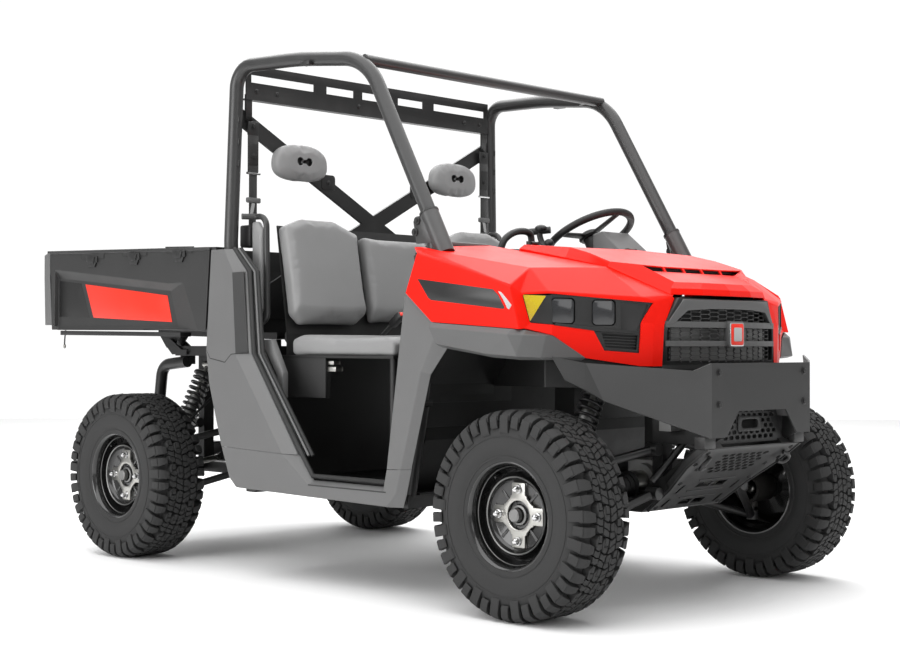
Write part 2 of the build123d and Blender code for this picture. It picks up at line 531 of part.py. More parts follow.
# ---- rear cage brace: window beam and crossed straps ----------------------------------------
BEAM_Z = (1719.0, 1845.0)
BRACE_TOP, BRACE_BOTTOM, BEAM_X = 1650.0, 950.0, 668.9 - CAGE_R
POST_RISE = (BRACE_BOTTOM - 40 - CAGE_FOOT_Z) / (POST_Z - 7 - CAGE_FOOT_Z)
BRACE_X = POST_FOOT[0] + POST_RISE * (POST_X - POST_FOOT[0]) - CAGE_R - 0.37605
with BuildPart() as cage_brace:
    block((-BEAM_X, BEAM_X), (ry(-682), ry(-677)), BEAM_Z)
    for z_low in (BEAM_Z[0], BEAM_Z[1] - 5):
        block((3.5 - BEAM_X, BEAM_X - 3.5), (ry(-682), ry(-650)), (z_low, z_low + 5))
    for x_low, x_high in ((-620, -320), (-258, -118), (-74, 74), (118, 258), (320, 620)):
        block((x_low, x_high), (ry(-690), ry(-670)), (1783, 1811), mode=Mode.SUBTRACT)
    for x_sign in (-1, 1):
        strap = [(x_sign * BRACE_X, BRACE_TOP + 33), (x_sign * BRACE_X, BRACE_TOP - 33)]
        strap += [(-x_sign * BRACE_X, BRACE_BOTTOM - 33), (-x_sign * BRACE_X, BRACE_BOTTOM + 33)]
        outline(Plane.XZ.offset(-ry(-656)), strap, 12)
        block((x_sign * 370, x_sign * 445), (ry(REST_BACK + SEAT), ry(-660)), (1490, 1545))
    # the beam hangs on two plates above the crossed straps' ends
    for x_sign in (-1, 1):
        block((x_sign * 612, x_sign * 640), (ry(-677), ry(-668)), (1640, BEAM_Z[0] + 20))
cage_brace.part.label = "cage_brace"
export_step(cage_brace.part, "parts/cage_brace.step")

with BuildPart() as seat_belts:
    for x_sign in (-1, 1):
        block((x_sign * 588, x_sign * 638), (ry(-680), ry(-676)), (1310, 1600))
        block((x_sign * 590, x_sign * 632), (ry(-682), ry(-668 - SEAT)), (1590, 1638))
        block((x_sign * 596, x_sign * 630), (ry(-684), ry(-674)), (1290, 1330))
        block((x_sign * 195, x_sign * 230), (ry(-1010), ry(-950)), (855.5, 893))
seat_belts.part.label = "seat_belts"
export_step(seat_belts.part, "parts/seat_belts.step")

# ---- cargo bed and tailgate, in the bed's own slightly nose-down plane ----------------------
BED_RAKE = 1.5
BED_FRONT_D, BED_FRONT_Z = -573.0, 872.0
BED_LEN = 1157.0
BED_H = 311.0
BED_WALL = 22.0
BED_FLOOR = 26.0
RAIL_LIP = 45.0
GATE_HALF = 636.0
GATE_HINGE = (1118.0, 14.0)  # (along the bed, above its underside)
BED_ORIGIN = (0, ry(BED_FRONT_D), BED_FRONT_Z)
BED_SIDE = Plane(origin=BED_ORIGIN, x_dir=Vector(0, 1, 0).rotate(Axis.X, BED_RAKE), z_dir=(1, 0, 0))


def bed_side(points, x_from, x_to, mode=Mode.ADD):
    """An outline of (along, above) points in the bed's plane, raised across from x_from to x_to."""
    outline(BED_SIDE.offset(x_from), points, x_to - x_from, 0.0, mode)


def bed_block(xs, along, above, mode=Mode.ADD):
    """A block in the bed's plane."""
    corners = [(along[0], above[0]), (along[1], above[0]), (along[1], above[1]), (along[0], above[1])]
    bed_side(corners, xs[0], xs[1], mode)


def bed_point(x, along, above):
    """The vehicle position of a point given in the bed's plane."""
    return tuple(BED_SIDE.from_local_coords(Vector(along, above, x)))


with BuildPart() as cargo_bed:
    bed_block((0, BED_HALF - 4), (0, 1082), (0, BED_FLOOR))
    bed_block((0, BED_HALF - 4), (0, BED_WALL), (0, BED_H - 8))
    bed_block((BED_HALF - BED_WALL, BED_HALF), (0, BED_LEN - 25), (4, BED_H))
    bed_block((BED_HALF - RAIL_LIP, BED_HALF), (0, BED_LEN - 25), (BED_H - 30, BED_H))
    bed_block((GATE_HALF + 6, BED_HALF), (1088, BED_LEN - 7), (4, BED_H))
    # subframe rails with the tilt bore
    rail_line = [(70, 0), (70, -28), (690, -28), (742, -80), (790, -80), (850, -20), (850, 0)]
    bed_side(rail_line, BED_RAIL[0], BED_RAIL[1])
    bore = [(x, ry(HINGE_D), HINGE_Z) for x in (BED_RAIL[0] - 5, BED_RAIL[1] + 5)]
    rod(bore[0], bore[1], PIN_R + 0.06, mode=Mode.SUBTRACT)
    # gate pin bores in the corner posts
    bore = [bed_point(x, *GATE_HINGE) for x in (GATE_HALF, GATE_HALF + 32)]
    rod(bore[0], bore[1], 8.06, mode=Mode.SUBTRACT)
    mirror(about=Plane.YZ)
cargo_bed.part.label = "cargo_bed"
export_step(cargo_bed.part, "parts/cargo_bed.step")

with BuildPart() as tailgate:
    gate = [(1094, 32), (1094, 300), (1132, 300), (1132, 20), (1106, 10)]
    bed_side(gate, 0, GATE_HALF)
    bed_block((0, 480), (1131, 1144), (90, 240))
    rod(bed_point(GATE_HALF - 20, *GATE_HINGE), bed_point(GATE_HALF + 26, *GATE_HINGE), 8)
    mirror(about=Plane.YZ)
tailgate.part.label = "tailgate"
export_step(tailgate.part, "parts/tailgate.step")

with BuildPart() as tail_lights:
    bed_block((GATE_HALF + 12, BED_HALF - 6), (BED_LEN - 7, BED_LEN), (60, 220))
    mirror(about=Plane.YZ)
tail_lights.part.label = "tail_lights"
export_step(tail_lights.part, "parts/tail_lights.step")

# ---- drivetrain ---------------------------------------------------------------------------
DIFF_Z, DIFF_HALF = 385.0, 95.0
with BuildPart() as engine:
    block((-150, 150), (ry(-650), ry(-250)), (RAIL_TOP + SEAT, 720))
    block((-150, -110), (ry(-700), ry(-450)), (430, 650))
engine.part.label = "engine"
export_step(engine.part, "parts/engine.step")

with BuildPart() as exhaust:
    rod((-140, ry(160), 645), (140, ry(160), 645), 68)
    block((-15, 15), (ry(145), ry(175)), (705, DECK_Z - SEAT))
    rod((90, ry(200), 640), (90, ry(350), 640), 20)
exhaust.part.label = "exhaust"
export_step(exhaust.part, "parts/exhaust.step")

with BuildPart() as differentials:
    for datum in (fy, ry):
        block((-70, 70), (datum(-70), datum(70)), (309 + SEAT, 450))
        rod((-DIFF_HALF, datum(0), DIFF_Z), (DIFF_HALF, datum(0), DIFF_Z), 55)
differentials.part.label = "differentials"
export_step(differentials.part, "parts/differentials.step")

# ---- suspension ---------------------------------------------------------------------------
PIN_X = 560.0  # kingpin, or the rear upright's centre
BALL_RISE = 95.0
BUSH_X, BUSH_R = RAIL_OUT + 20.0 + SEAT, 20.0
LOWER_Z, UPPER_Z = 320.0, 500.0
ARM_R = 14.0
STUD_R = 8.0
CUP_R, CUP_WALL = 40.0, 10.0
LOW_BALL, HIGH_BALL = AXLE_Z - BALL_RISE, AXLE_Z + BALL_RISE
SHELF_X = 430.0  # middle of the strut seat on the upper arm
SHELF_Z = UPPER_Z + (HIGH_BALL + 6 - UPPER_Z) * (SHELF_X - BUSH_X) / (PIN_X - BUSH_X) + 11.16969
TIE_D, TIE_PIN, TIE_R = 110.0, 6.0, 8.0  # tie rod end: behind the axle, pin radius, rod radius


def arms(datum):
    """Lower and upper A-arms of the left wheel, with their ball studs."""
    with BuildPart() as pair:
        for pivot_z, ball_z, stud in ((LOWER_Z, LOW_BALL, 1), (UPPER_Z, HIGH_BALL + 6, -1)):
            for pivot in (-PIVOT_D, PIVOT_D):
                lift = 42 if (pivot < 0 and stud == 1 and datum is fy) else 0
                z = pivot_z + lift
                rod((BUSH_X, datum(pivot - 22), z), (BUSH_X, datum(pivot + 22), z), BUSH_R)
                rod((BUSH_X, datum(pivot), z), (PIN_X - 8, datum(0), ball_z), ARM_R)
            rod((PIN_X, datum(0), ball_z - 16), (PIN_X, datum(0), ball_z + 16), 20)
            rod((PIN_X, datum(0), ball_z), (PIN_X, datum(0), ball_z + stud * 44), STUD_R)
        block((SHELF_X - 18, SHELF_X + 18), (datum(-66), datum(66)), (SHELF_Z - 17.16969, SHELF_Z))
    return pair.part


for node, datum in (("front_arms", fy), ("rear_arms", ry)):
    left = arms(datum)
    both = left + mirror(left, about=Plane.YZ)
    both.label = node
    export_step(both, f"parts/{node}.step")


def upright(datum, steered):
    """Left wheel upright: bearing housing, joint cup, ball joint bosses and spindle."""
    with BuildPart() as carrier:
        rod((525, datum(0), AXLE_Z), (640, datum(0), AXLE_Z), CUP_R + CUP_WALL)
        rod((500, datum(0), AXLE_Z), (592, datum(0), AXLE_Z), CUP_R, mode=Mode.SUBTRACT)
        rod((630, datum(0), AXLE_Z), (706, datum(0), AXLE_Z), 20)
        for low, high in ((LOW_BALL + 30, AXLE_Z - 44), (AXLE_Z + 44, HIGH_BALL - 15)):
            rod((PIN_X, datum(0), low), (PIN_X, datum(0), high), 20)
        for low, high in ((LOW_BALL + 10, LOW_BALL + 45), (HIGH_BALL - 39, HIGH_BALL - 5)):
            rod((PIN_X, datum(0), low), (PIN_X, datum(0), high), STUD_R + 0.06, mode=Mode.SUBTRACT)
        if steered:
            arm = (datum(CUP_R - 2), datum(RACK_D + 22))
            block((PIN_X - 14, PIN_X + 14), arm, (RACK_Z - 34, RACK_Z - 18))
            bore = [(PIN_X, datum(TIE_D), RACK_Z - drop) for drop in (40, 10)]
            rod(bore[0], bore[1], TIE_PIN + 0.06, mode=Mode.SUBTRACT)
    return carrier.part


knuckle = upright(fy, True)
for node, piece in (("knuckle_left", knuckle), ("knuckle_right", mirror(knuckle, about=Plane.YZ))):
    piece.label = node
    export_step(piece, f"parts/{node}.step")
carrier_left = upright(ry, False)
rear_uprights = carrier_left + mirror(carrier_left, about=Plane.YZ)
rear_uprights.label = "rear_uprights"
export_step(rear_uprights, "parts/rear_uprights.step")

with BuildPart() as half_shafts:
    for datum in (fy, ry):
        rod((DIFF_HALF + 20, datum(0), DIFF_Z), (PIN_X, datum(0), AXLE_Z), 12)
        rod((DIFF_HALF + SEAT, datum(0), DIFF_Z), (DIFF_HALF + 60, datum(0), DIFF_Z), 34)
        with Locations((PIN_X, datum(0), AXLE_Z)):
            Sphere(22)
    mirror(about=Plane.YZ)
half_shafts.part.label = "half_shafts"
export_step(half_shafts.part, "parts/half_shafts.step")

# coil-over struts stand on the upper arms
SHOCK_LOW = (SHELF_X, SHELF_Z + 14 + SEAT)
SHOCK_HIGH = (300.0, TOWER_Z - 14 - SEAT)
PERCH_R, COIL_R, COIL_IN = 40.0, 38.0, 26.0
STRUT = Vector(SHOCK_HIGH[0] - SHOCK_LOW[0], 0, SHOCK_HIGH[1] - SHOCK_LOW[1])
STRUT_AXIS, STRUT_LEN = STRUT.normalized(), STRUT.length


def on_strut(datum, along):
    """A point on the left strut's axis, this far above its lower eye."""
    return (SHOCK_LOW[0] + along * STRUT_AXIS.X, datum(0), SHOCK_LOW[1] + along * STRUT_AXIS.Z)


with BuildPart() as shocks:
    for datum in (fy, ry):
        for eye in (0, STRUT_LEN):
            x, y, z = on_strut(datum, eye)
            rod((x, y - 20, z), (x, y + 20, z), 14)
        rod(on_strut(datum, 0), on_strut(datum, STRUT_LEN), 9)
        rod(on_strut(datum, 40), on_strut(datum, 170), 22)
        rod(on_strut(datum, 52), on_strut(datum, 60), PERCH_R)
        rod(on_strut(datum, STRUT_LEN - 48), on_strut(datum, STRUT_LEN - 40), PERCH_R)
    mirror(about=Plane.YZ)
shocks.part.label = "shocks"
export_step(shocks.part, "parts/shocks.step")

with BuildPart() as springs:
    for datum in (fy, ry):
        rod(on_strut(datum, 60 + SEAT), on_strut(datum, STRUT_LEN - 48 - SEAT), COIL_R)
        rod(on_strut(datum, 50), on_strut(datum, STRUT_LEN - 40), COIL_IN, mode=Mode.SUBTRACT)
    mirror(about=Plane.YZ)
springs.part.label = "springs"
export_step(springs.part, "parts/springs.step")

# ---- steering rack and tie rods -------------------------------------------------------------
RACK_R, BELLOWS_R, BELLOWS_IN = 20.0, 29.0, 24.0
BELLOWS_X = (155.0, 290.0)
with BuildPart() as steering_rack:
    rod((0, fy(RACK_D), RACK_Z), (BELLOWS_X[0], fy(RACK_D), RACK_Z), RACK_R)
    rod((BELLOWS_X[0] - 8, fy(RACK_D), RACK_Z), (BELLOWS_X[1], fy(RACK_D), RACK_Z), BELLOWS_R)
    inside = [(x, fy(RACK_D), RACK_Z) for x in (BELLOWS_X[0], BELLOWS_X[1] + 5)]
    rod(inside[0], inside[1], BELLOWS_IN, mode=Mode.SUBTRACT)
    block((95, 135), (fy(RACK_D), fy(PIVOT_D - 20 - SEAT)), (RACK_Z - 16, RACK_Z + 16))
    mirror(about=Plane.YZ)
    rod((115, fy(RACK_D), RACK_Z), (115, fy(RACK_D), RACK_Z + 62), 16)
steering_rack.part.label = "steering_rack"
export_step(steering_rack.part, "parts/steering_rack.step")

with BuildPart() as tie_rod:
    rod((216, fy(TIE_D), RACK_Z), (PIN_X, fy(TIE_D), RACK_Z), TIE_R)
    rod((PIN_X, fy(TIE_D), RACK_Z - 12), (PIN_X, fy(TIE_D), RACK_Z + 12), 15)
    rod((PIN_X, fy(TIE_D), RACK_Z - 33), (PIN_X, fy(TIE_D), RACK_Z), TIE_PIN)
for node, piece in (("tie_rod_left", tie_rod.part), ("tie_rod_right", mirror(tie_rod.part, about=Plane.YZ))):
    piece.label = node
    export_step(piece, f"parts/{node}.step")

# ---- wheels -------------------------------------------------------------------------------
BORE_R = 20.06
HUB_OFFSET = 39.0  # mounting face outboard of the wheel's centre plane
STUD_RING = 78.0
# (outboard, radius) outlines
BARREL = [(-95, 163), (-88, 163), (-85, 154), (-58, 152), (-48, 137), (28, 137), (42, 152), (84, 154)]
BARREL += [(88, 161), (95, 161), (95, 156), (91, 156), (87, 149), (44, 147), (31, 132), (-51, 132)]
BARREL += [(-61, 147), (-88, 149), (-91, 158), (-95, 158)]
DISC = [(2, BORE_R), (2, 38), (HUB_OFFSET - 6, 46), (HUB_OFFSET - 6, 92), (52, 110), (52, 118), (30, 124)]
DISC += [(14, 133), (20, 134), (36, 126), (59, 119), (59, 112), (HUB_OFFSET, 94), (HUB_OFFSET, BORE_R)]
CAP = [(HUB_OFFSET - 1, BORE_R + 8), (HUB_OFFSET + 30, 26), (HUB_OFFSET + 30, 0), (HUB_OFFSET + 24, 0)]
CAP += [(HUB_OFFSET + 24, 21), (HUB_OFFSET - 1, BORE_R)]
TREAD_HALF = TYRE_WIDTH / 2
CARCASS = [(-84, 154.3), (-88, 165), (-TREAD_HALF, 205), (-TREAD_HALF, 270), (-98, 305)]
CARCASS += [(-70, TYRE_RADIUS - 2), (-40, TYRE_RADIUS)]
CARCASS += [(-x, r) for x, r in reversed(CARCASS)]
CARCASS += [(70, 154.3), (76, 168), (98, 207), (98, 266), (84, 293), (62, 300), (-62, 300), (-84, 293)]
CARCASS += [(-98, 266), (-98, 207), (-76, 168), (-70, 154.3)]


def ring(centre_x, y, profile, x_sign):
    """A turned ring about a wheel's axle, from (outboard, radius) points."""
    with BuildPart() as turned:
        with BuildSketch(Plane(origin=(centre_x, y, AXLE_Z), x_dir=(x_sign, 0, 0), z_dir=(0, -x_sign, 0))):
            with BuildLine():
                Polyline(*profile, close=True)
            make_face()
        revolve(axis=Axis((centre_x, y, AXLE_Z), (1, 0, 0)))
    return turned.part


WHEELS = (
    # corner, side, y of the axle
    ("front_left", 1, fy(0)),
    ("front_right", -1, fy(0)),
    ("rear_left", 1, ry(0)),
    ("rear_right", -1, ry(0)),
)
for corner, x_sign, y in WHEELS:
    centre_x = x_sign * HALF_TRACK
    tyre = ring(centre_x, y, CARCASS, x_sign)
    tyre.label = f"tyre_{corner}"
    export_step(tyre, f"parts/tyre_{corner}.step")
    with BuildPart() as rim:
        add(ring(centre_x, y, BARREL, x_sign))
        add(ring(centre_x, y, DISC, x_sign))
        stud_x = x_sign * (HALF_TRACK + HUB_OFFSET - 2)
        with BuildSketch(Plane(origin=(stud_x, y, AXLE_Z), x_dir=(0, 1, 0), z_dir=(x_sign, 0, 0))):
            with PolarLocations(STUD_RING, 4):
                RegularPolygon(11, 6)
        extrude(amount=20)
        # centre cap over the spindle's end
        add(ring(centre_x, y, CAP, x_sign))
    rim.part.label = f"rim_{corner}"
    export_step(rim.part, f"parts/rim_{corner}.step")
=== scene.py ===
"""Visible surfaces of a side-by-side utility vehicle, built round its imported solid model.

The vehicle faces -Y, its left side is +X and it stands on Z = 0. Sizes are in millimetres and become
metres when a piece is finished. Front pieces are placed from the front axle and rear pieces from the
rear axle.
"""

import logging
import math
from dataclasses import dataclass
from enum import Enum
from typing import Any, Iterable, Sequence

import bmesh
import bpy
from mathutils import Matrix, Vector


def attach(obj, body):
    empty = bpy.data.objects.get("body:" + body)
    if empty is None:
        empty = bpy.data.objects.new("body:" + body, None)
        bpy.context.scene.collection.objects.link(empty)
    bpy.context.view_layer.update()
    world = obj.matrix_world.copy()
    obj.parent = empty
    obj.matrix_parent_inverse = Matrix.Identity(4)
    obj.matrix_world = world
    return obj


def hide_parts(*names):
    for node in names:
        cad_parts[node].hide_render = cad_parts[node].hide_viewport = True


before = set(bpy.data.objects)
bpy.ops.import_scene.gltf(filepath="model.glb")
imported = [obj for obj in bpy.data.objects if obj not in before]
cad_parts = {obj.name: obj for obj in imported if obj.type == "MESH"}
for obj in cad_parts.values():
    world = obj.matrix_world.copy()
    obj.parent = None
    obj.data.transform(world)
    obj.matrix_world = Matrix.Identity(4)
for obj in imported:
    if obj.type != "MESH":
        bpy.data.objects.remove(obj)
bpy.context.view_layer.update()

log = logging.getLogger("vehicle")

MM = 0.001
FRONT_AXLE = -1116.0
REAR_AXLE = 941.0
AXLE_Z = 317.0
SIDES = (1, -1)
WORN_EDGE = (0.53, 0.62)  # pointiness from which a coat is rubbed, and where it is rubbed most
DUST_COLOUR = "#8d877c"
HERE = Matrix.Identity(4)

Point2 = tuple[float, float]
Point3 = tuple[float, float, float]
Piece = bpy.types.Object


def fy(behind: float) -> float:
    """Y of a point this far behind the front axle, in millimetres."""
    return FRONT_AXLE + behind


def ry(behind: float) -> float:
    """Y of a point this far behind the rear axle, in millimetres."""
    return REAR_AXLE + behind


def linear(code: str) -> tuple[float, float, float, float]:
    """Turns an sRGB hex colour into linear RGBA.

    Args:
        code: the colour, such as "#a0b0c0".

    Returns:
        Linear red, green, blue and an alpha of 1.
    """
    levels = [int(code[i : i + 2], 16) / 255 for i in (1, 3, 5)]
    red, green, blue = [v / 12.92 if v <= 0.04045 else ((v + 0.055) / 1.055) ** 2.4 for v in levels]
    return red, green, blue, 1.0


def add_node(tree: Any, kind: str, links: dict[Any, Any] | None = None, **settings: Any) -> Any:
    """Adds a shader node with its settings and inputs.

    Args:
        tree: the node tree.
        kind: the node's type.
        links: input name or number to a value or to an output socket.
        settings: properties of the node itself.

    Returns:
        The node.
    """
    made = tree.nodes.new(kind)
    for name, value in settings.items():
        setattr(made, name, value)
    for name, value in (links or {}).items():
        if isinstance(value, bpy.types.NodeSocket):
            tree.links.new(value, made.inputs[name])
        else:
            made.inputs[name].default_value = value
    return made


def blended(tree: Any, share: Any, one: Any, other: Any) -> Any:
    """The socket of a mix of two colours."""
    made = add_node(tree, "ShaderNodeMix", {"Factor": share, "A": one, "B": other}, data_type="RGBA")
    return made.outputs["Result"]


def stretched(tree: Any, value: Any, source: Point2, target: Point2) -> Any:
    """The socket of a value taken from one range to another."""
    ends = {"From Min": source[0], "From Max": source[1], "To Min": target[0], "To Max": target[1]}
    return add_node(tree, "ShaderNodeMapRange", {"Value": value, **ends}).outputs["Result"]


class Grain(Enum):
    """How a surface was made, which sets its fine relief."""

    SPRAYED = "orange peel of a sprayed or moulded gloss skin"
    MOULDED = "spark-eroded grain of a moulded panel"
    HIDE = "pebbled vinyl"
    CAST = "sand casting"
    BRUSHED = "machined or drawn metal"
    WOVEN = "belt webbing"
    RUBBER = "moulded rubber with release marks"


@dataclass(frozen=True)
class Finish:
    """A surface: colours, gloss and relief. Relief sizes are real unless a comment says so."""

    name: str
    colour: str
    tint: str
    rough: Point2
    grain: Grain
    grain_mm: float
    relief_mm: float
    metallic: float = 0.0
    coat: float = 0.0
    coat_rough: float = 0.08
    ior: float = 1.5
    sheen: float = 0.0
    wear: str = ""
    dust: float = 0.0

    def height(self, tree: Any, place: Any) -> Any:
        """Adds the relief pattern.

        Args:
            tree: the node tree.
            place: the socket with object coordinates, in metres.

        Returns:
            The socket with the height, 0 to 1.
        """
        scale = 1.0 / (self.grain_mm * MM)
        if self.grain is Grain.HIDE:
            cells = add_node(
                tree, "ShaderNodeTexVoronoi", {"Vector": place, "Scale": scale, "Randomness": 0.9}
            )
            cells.feature = "SMOOTH_F1"
            return cells.outputs["Distance"]
        if self.grain is Grain.BRUSHED:
            stretch = add_node(tree, "ShaderNodeMapping", {"Vector": place, "Scale": (0.15, 1.0, 1.0)})
            lines = add_node(
                tree, "ShaderNodeTexNoise", {"Vector": stretch.outputs[0], "Scale": scale, "Detail": 4.0}
            )
            return lines.outputs["Fac"]
        if self.grain is Grain.WOVEN:
            warp = add_node(
                tree, "ShaderNodeTexWave", {"Vector": place, "Scale": scale / 6.28, "Distortion": 0.4}
            )
            weft = add_node(tree, "ShaderNodeTexWave", {"Vector": place, "Scale": scale / 6.28})
            warp.bands_direction, weft.bands_direction = "X", "Z"
            both = add_node(tree, "ShaderNodeMath", {0: warp.outputs["Fac"], 1: weft.outputs["Fac"]})
            both.operation = "MULTIPLY"
            return both.outputs[0]
        detail = {Grain.SPRAYED: 1.0, Grain.MOULDED: 3.0, Grain.CAST: 6.0, Grain.RUBBER: 5.0}[self.grain]
        noise = add_node(tree, "ShaderNodeTexNoise", {"Vector": place, "Scale": scale, "Detail": detail})
        return noise.outputs["Fac"]

    def make(self) -> bpy.types.Material:
        """Builds the material once and returns it."""
        known = bpy.data.materials.get(self.name)
        if known:
            return known
        material = bpy.data.materials.new(self.name)
        material.use_nodes = True
        tree = material.node_tree
        tree.nodes.clear()
        place = add_node(tree, "ShaderNodeTexCoord").outputs["Object"]
        patches = add_node(
            tree, "ShaderNodeTexNoise", {"Vector": place, "Scale": 9.0, "Detail": 5.0, "Roughness": 0.6}
        )
        colour = blended(tree, patches.outputs["Fac"], linear(self.colour), linear(self.tint))
        if self.wear:
            edge = add_node(tree, "ShaderNodeNewGeometry").outputs["Pointiness"]
            sharp = stretched(tree, edge, WORN_EDGE, (0.0, 0.7))
            broken = add_node(
                tree, "ShaderNodeMath", {0: sharp, 1: patches.outputs["Fac"]}, operation="MULTIPLY"
            )
            colour = blended(tree, broken.outputs[0], colour, linear(self.wear))
        if self.dust:
            specks = add_node(tree, "ShaderNodeTexNoise", {"Vector": place, "Scale": 38.0, "Detail": 8.0})
            settled = stretched(tree, specks.outputs["Fac"], (0.5, 0.75), (0.0, self.dust))
            colour = blended(tree, settled, colour, linear(DUST_COLOUR))
        gloss = stretched(tree, patches.outputs["Fac"], (0.3, 0.7), self.rough)
        bump = add_node(
            tree,
            "ShaderNodeBump",
            {"Height": self.height(tree, place), "Distance": self.relief_mm * MM, "Strength": 1.0},
        ).outputs["Normal"]
        surface = add_node(
            tree,
            "ShaderNodeBsdfPrincipled",
            {
                "Base Color": colour,
                "Roughness": gloss,
                "Normal": bump,
                "Metallic": self.metallic,
                "IOR": self.ior,
                "Coat Weight": self.coat,
                "Coat Roughness": self.coat_rough,
                "Sheen Weight": self.sheen,
            },
        )
        add_node(tree, "ShaderNodeOutputMaterial", {"Surface": surface.outputs[0]})
        return material


# Moulded red polymer: deep colour, a soft gloss and a faint orange peel. Vinyl films lie on it.
RED_SKIN = Finish("gloss_red_polymer", "#e81202", "#ec1603", (0.36, 0.4), Grain.SPRAYED, 9.0, 0.006, ior=1.24)
RED_FILM = Finish("red_vinyl_film", "#e4260f", "#ee2c14", (0.3, 0.36), Grain.SPRAYED, 12.0, 0.01)
BLACK_FILM = Finish("black_vinyl_film", "#161616", "#1c1c1c", (0.3, 0.38), Grain.SPRAYED, 12.0, 0.01)
SILVER_FILM = Finish("silver_vinyl_film", "#a8a8a8", "#b4b4b4", (0.3, 0.36), Grain.SPRAYED, 12.0, 0.01)
# Moulded polypropylene: an even grey with an eroded grain that breaks its highlights.
# The grain is drawn at 2 mm, coarser than the real 0.5 mm, so that it shows.
GREY_PANEL = Finish(
    "grained_grey_polypropylene", "#5a5a5a", "#616161", (0.42, 0.52), Grain.MOULDED, 2.0, 0.05
)
FLARE_GREY = Finish(
    "grained_flare_polypropylene", "#505050", "#575757", (0.42, 0.52), Grain.MOULDED, 2.0, 0.05
)
BLACK_PANEL = Finish(
    "grained_black_polypropylene", "#151515", "#1b1b1b", (0.4, 0.52), Grain.MOULDED, 2.0, 0.05
)
# Black polyethylene liner; behind the grille the same colour is painted shade, a near-black sheet standing in
# for the dark space seen through the hexagons.
LINER_AND_GRILLE_SHADE = Finish("black_liner_polyethylene_and_grille_shade", "#0c0c0c", "#121212", (0.5, 0.62), Grain.MOULDED, 2.5, 0.06)
BED_SKIN = Finish("charcoal_bed_polymer", "#242424", "#2a2a2a", (0.4, 0.5), Grain.MOULDED, 2.0, 0.05)
# Powder coat over steel: satin, with the slight texture of the cured powder and rubbed edges.
CAGE_COAT = Finish(
    "satin_black_powder_coat", "#2b2b2b", "#313131", (0.3, 0.38), Grain.SPRAYED, 3.0, 0.03, wear="#5a5a5a"
)
FRAME_COAT = Finish(
    "black_powder_coat", "#131313", "#191919", (0.34, 0.44), Grain.SPRAYED, 3.0, 0.04, wear="#3c3c3c"
)
BUMPER_COAT = Finish(
    "textured_grey_powder_coat", "#333333", "#393939", (0.42, 0.5), Grain.MOULDED, 1.6, 0.06, wear="#777777"
)
# Dark textured coat of the skid plate; on the bumper the same coat is painted shade on the front face and the
# folded wing ends.
PLATE_COAT_AND_BUMPER_SHADE = Finish(
    "textured_dark_powder_coat_and_bumper_shade", "#202020", "#262626", (0.42, 0.5), Grain.MOULDED, 1.6, 0.06, wear="#666666"
)
# Bare metals: cast iron stays dull and gritty, machined and plated parts are bright.
CAST_IRON = Finish("cast_iron", "#2c2b2a", "#383634", (0.5, 0.65), Grain.CAST, 3.0, 0.25, metallic=0.7)
# Cast aluminium; on the rims the same colour paints highlight rings on the gloss black coat.
CAST_ALLOY_AND_RIM_HIGHLIGHT = Finish("cast_aluminium_and_rim_highlight", "#7d7d7c", "#8b8b8a", (0.42, 0.55), Grain.CAST, 2.5, 0.15, metallic=0.9)
ZINC = Finish("zinc_plated_steel", "#9b9b98", "#aaa9a4", (0.25, 0.36), Grain.BRUSHED, 1.5, 0.02, metallic=1.0)
CHROME = Finish(
    "chrome_plated_steel", "#c9c9c9", "#d4d4d4", (0.1, 0.16), Grain.SPRAYED, 8.0, 0.005, metallic=1.0
)
HUB_PLATE = Finish(
    "machined_alloy_plate", "#a4a39f", "#b9b8b3", (0.26, 0.36), Grain.BRUSHED, 1.2, 0.03, metallic=1.0
)
RIM_COAT = Finish(
    "gloss_black_wheel_coat", "#0d0d0d", "#131313", (0.2, 0.28), Grain.SPRAYED, 8.0, 0.02, coat=0.6,
    wear="#6a6a6a",
)
# Soft and rubbery surfaces.
VINYL = Finish("pebbled_grey_vinyl", "#7f7f7f", "#878787", (0.46, 0.56), Grain.HIDE, 2.4, 0.12)
WEBBING = Finish(
    "black_polyester_webbing", "#141414", "#1c1c1c", (0.6, 0.75), Grain.WOVEN, 2.0, 0.25, sheen=0.3
)
TYRE = Finish("tyre_rubber", "#0e0e0e", "#141414", (0.5, 0.66), Grain.RUBBER, 4.0, 0.12, ior=1.3, dust=0.03)
RUBBER = Finish("black_rubber", "#101010", "#171717", (0.5, 0.62), Grain.RUBBER, 3.0, 0.05)
# Lamp parts: a smoked lens, a dim metallised bowl behind it, and amber and red prisms.
LENS = Finish(
    "smoked_polycarbonate_lens", "#1c1d1f", "#26272a", (0.1, 0.16), Grain.SPRAYED, 20.0, 0.005, coat=0.4,
    coat_rough=0.03, ior=1.58,
)
BOWL = Finish(
    "metallised_lamp_bowl", "#1e1e20", "#2a2a2c", (0.25, 0.35), Grain.SPRAYED, 6.0, 0.03, metallic=0.8
)
AMBER = Finish("amber_prism_reflector", "#b9a304", "#cbb408", (0.24, 0.3), Grain.HIDE, 3.0, 0.25, coat=0.6)
TAIL_RED = Finish(
    "red_lamp_lens", "#7c0d08", "#8c120b", (0.1, 0.16), Grain.HIDE, 4.0, 0.2, coat=1.0, ior=1.58
)
STAGE = Finish("studio_floor", "#f8f8f8", "#fafafa", (0.8, 0.85), Grain.SPRAYED, 50.0, 0.0)


def plane(origin: Point3, u: Point3, v: Point3) -> Matrix:
    """A matrix that puts local x along u, local y along v and local z along their cross product."""
    across, up = Vector(u).normalized(), Vector(v).normalized()
    out = across.cross(up).normalized()
    up = out.cross(across)
    placed = Matrix((across, up, out)).transposed().to_4x4()
    placed.translation = Vector(origin)
    return placed


def side_plane(x: float) -> Matrix:
    """Points are (y, z) and depth runs towards +X."""
    return plane((x, 0, 0), (0, 1, 0), (0, 0, 1))


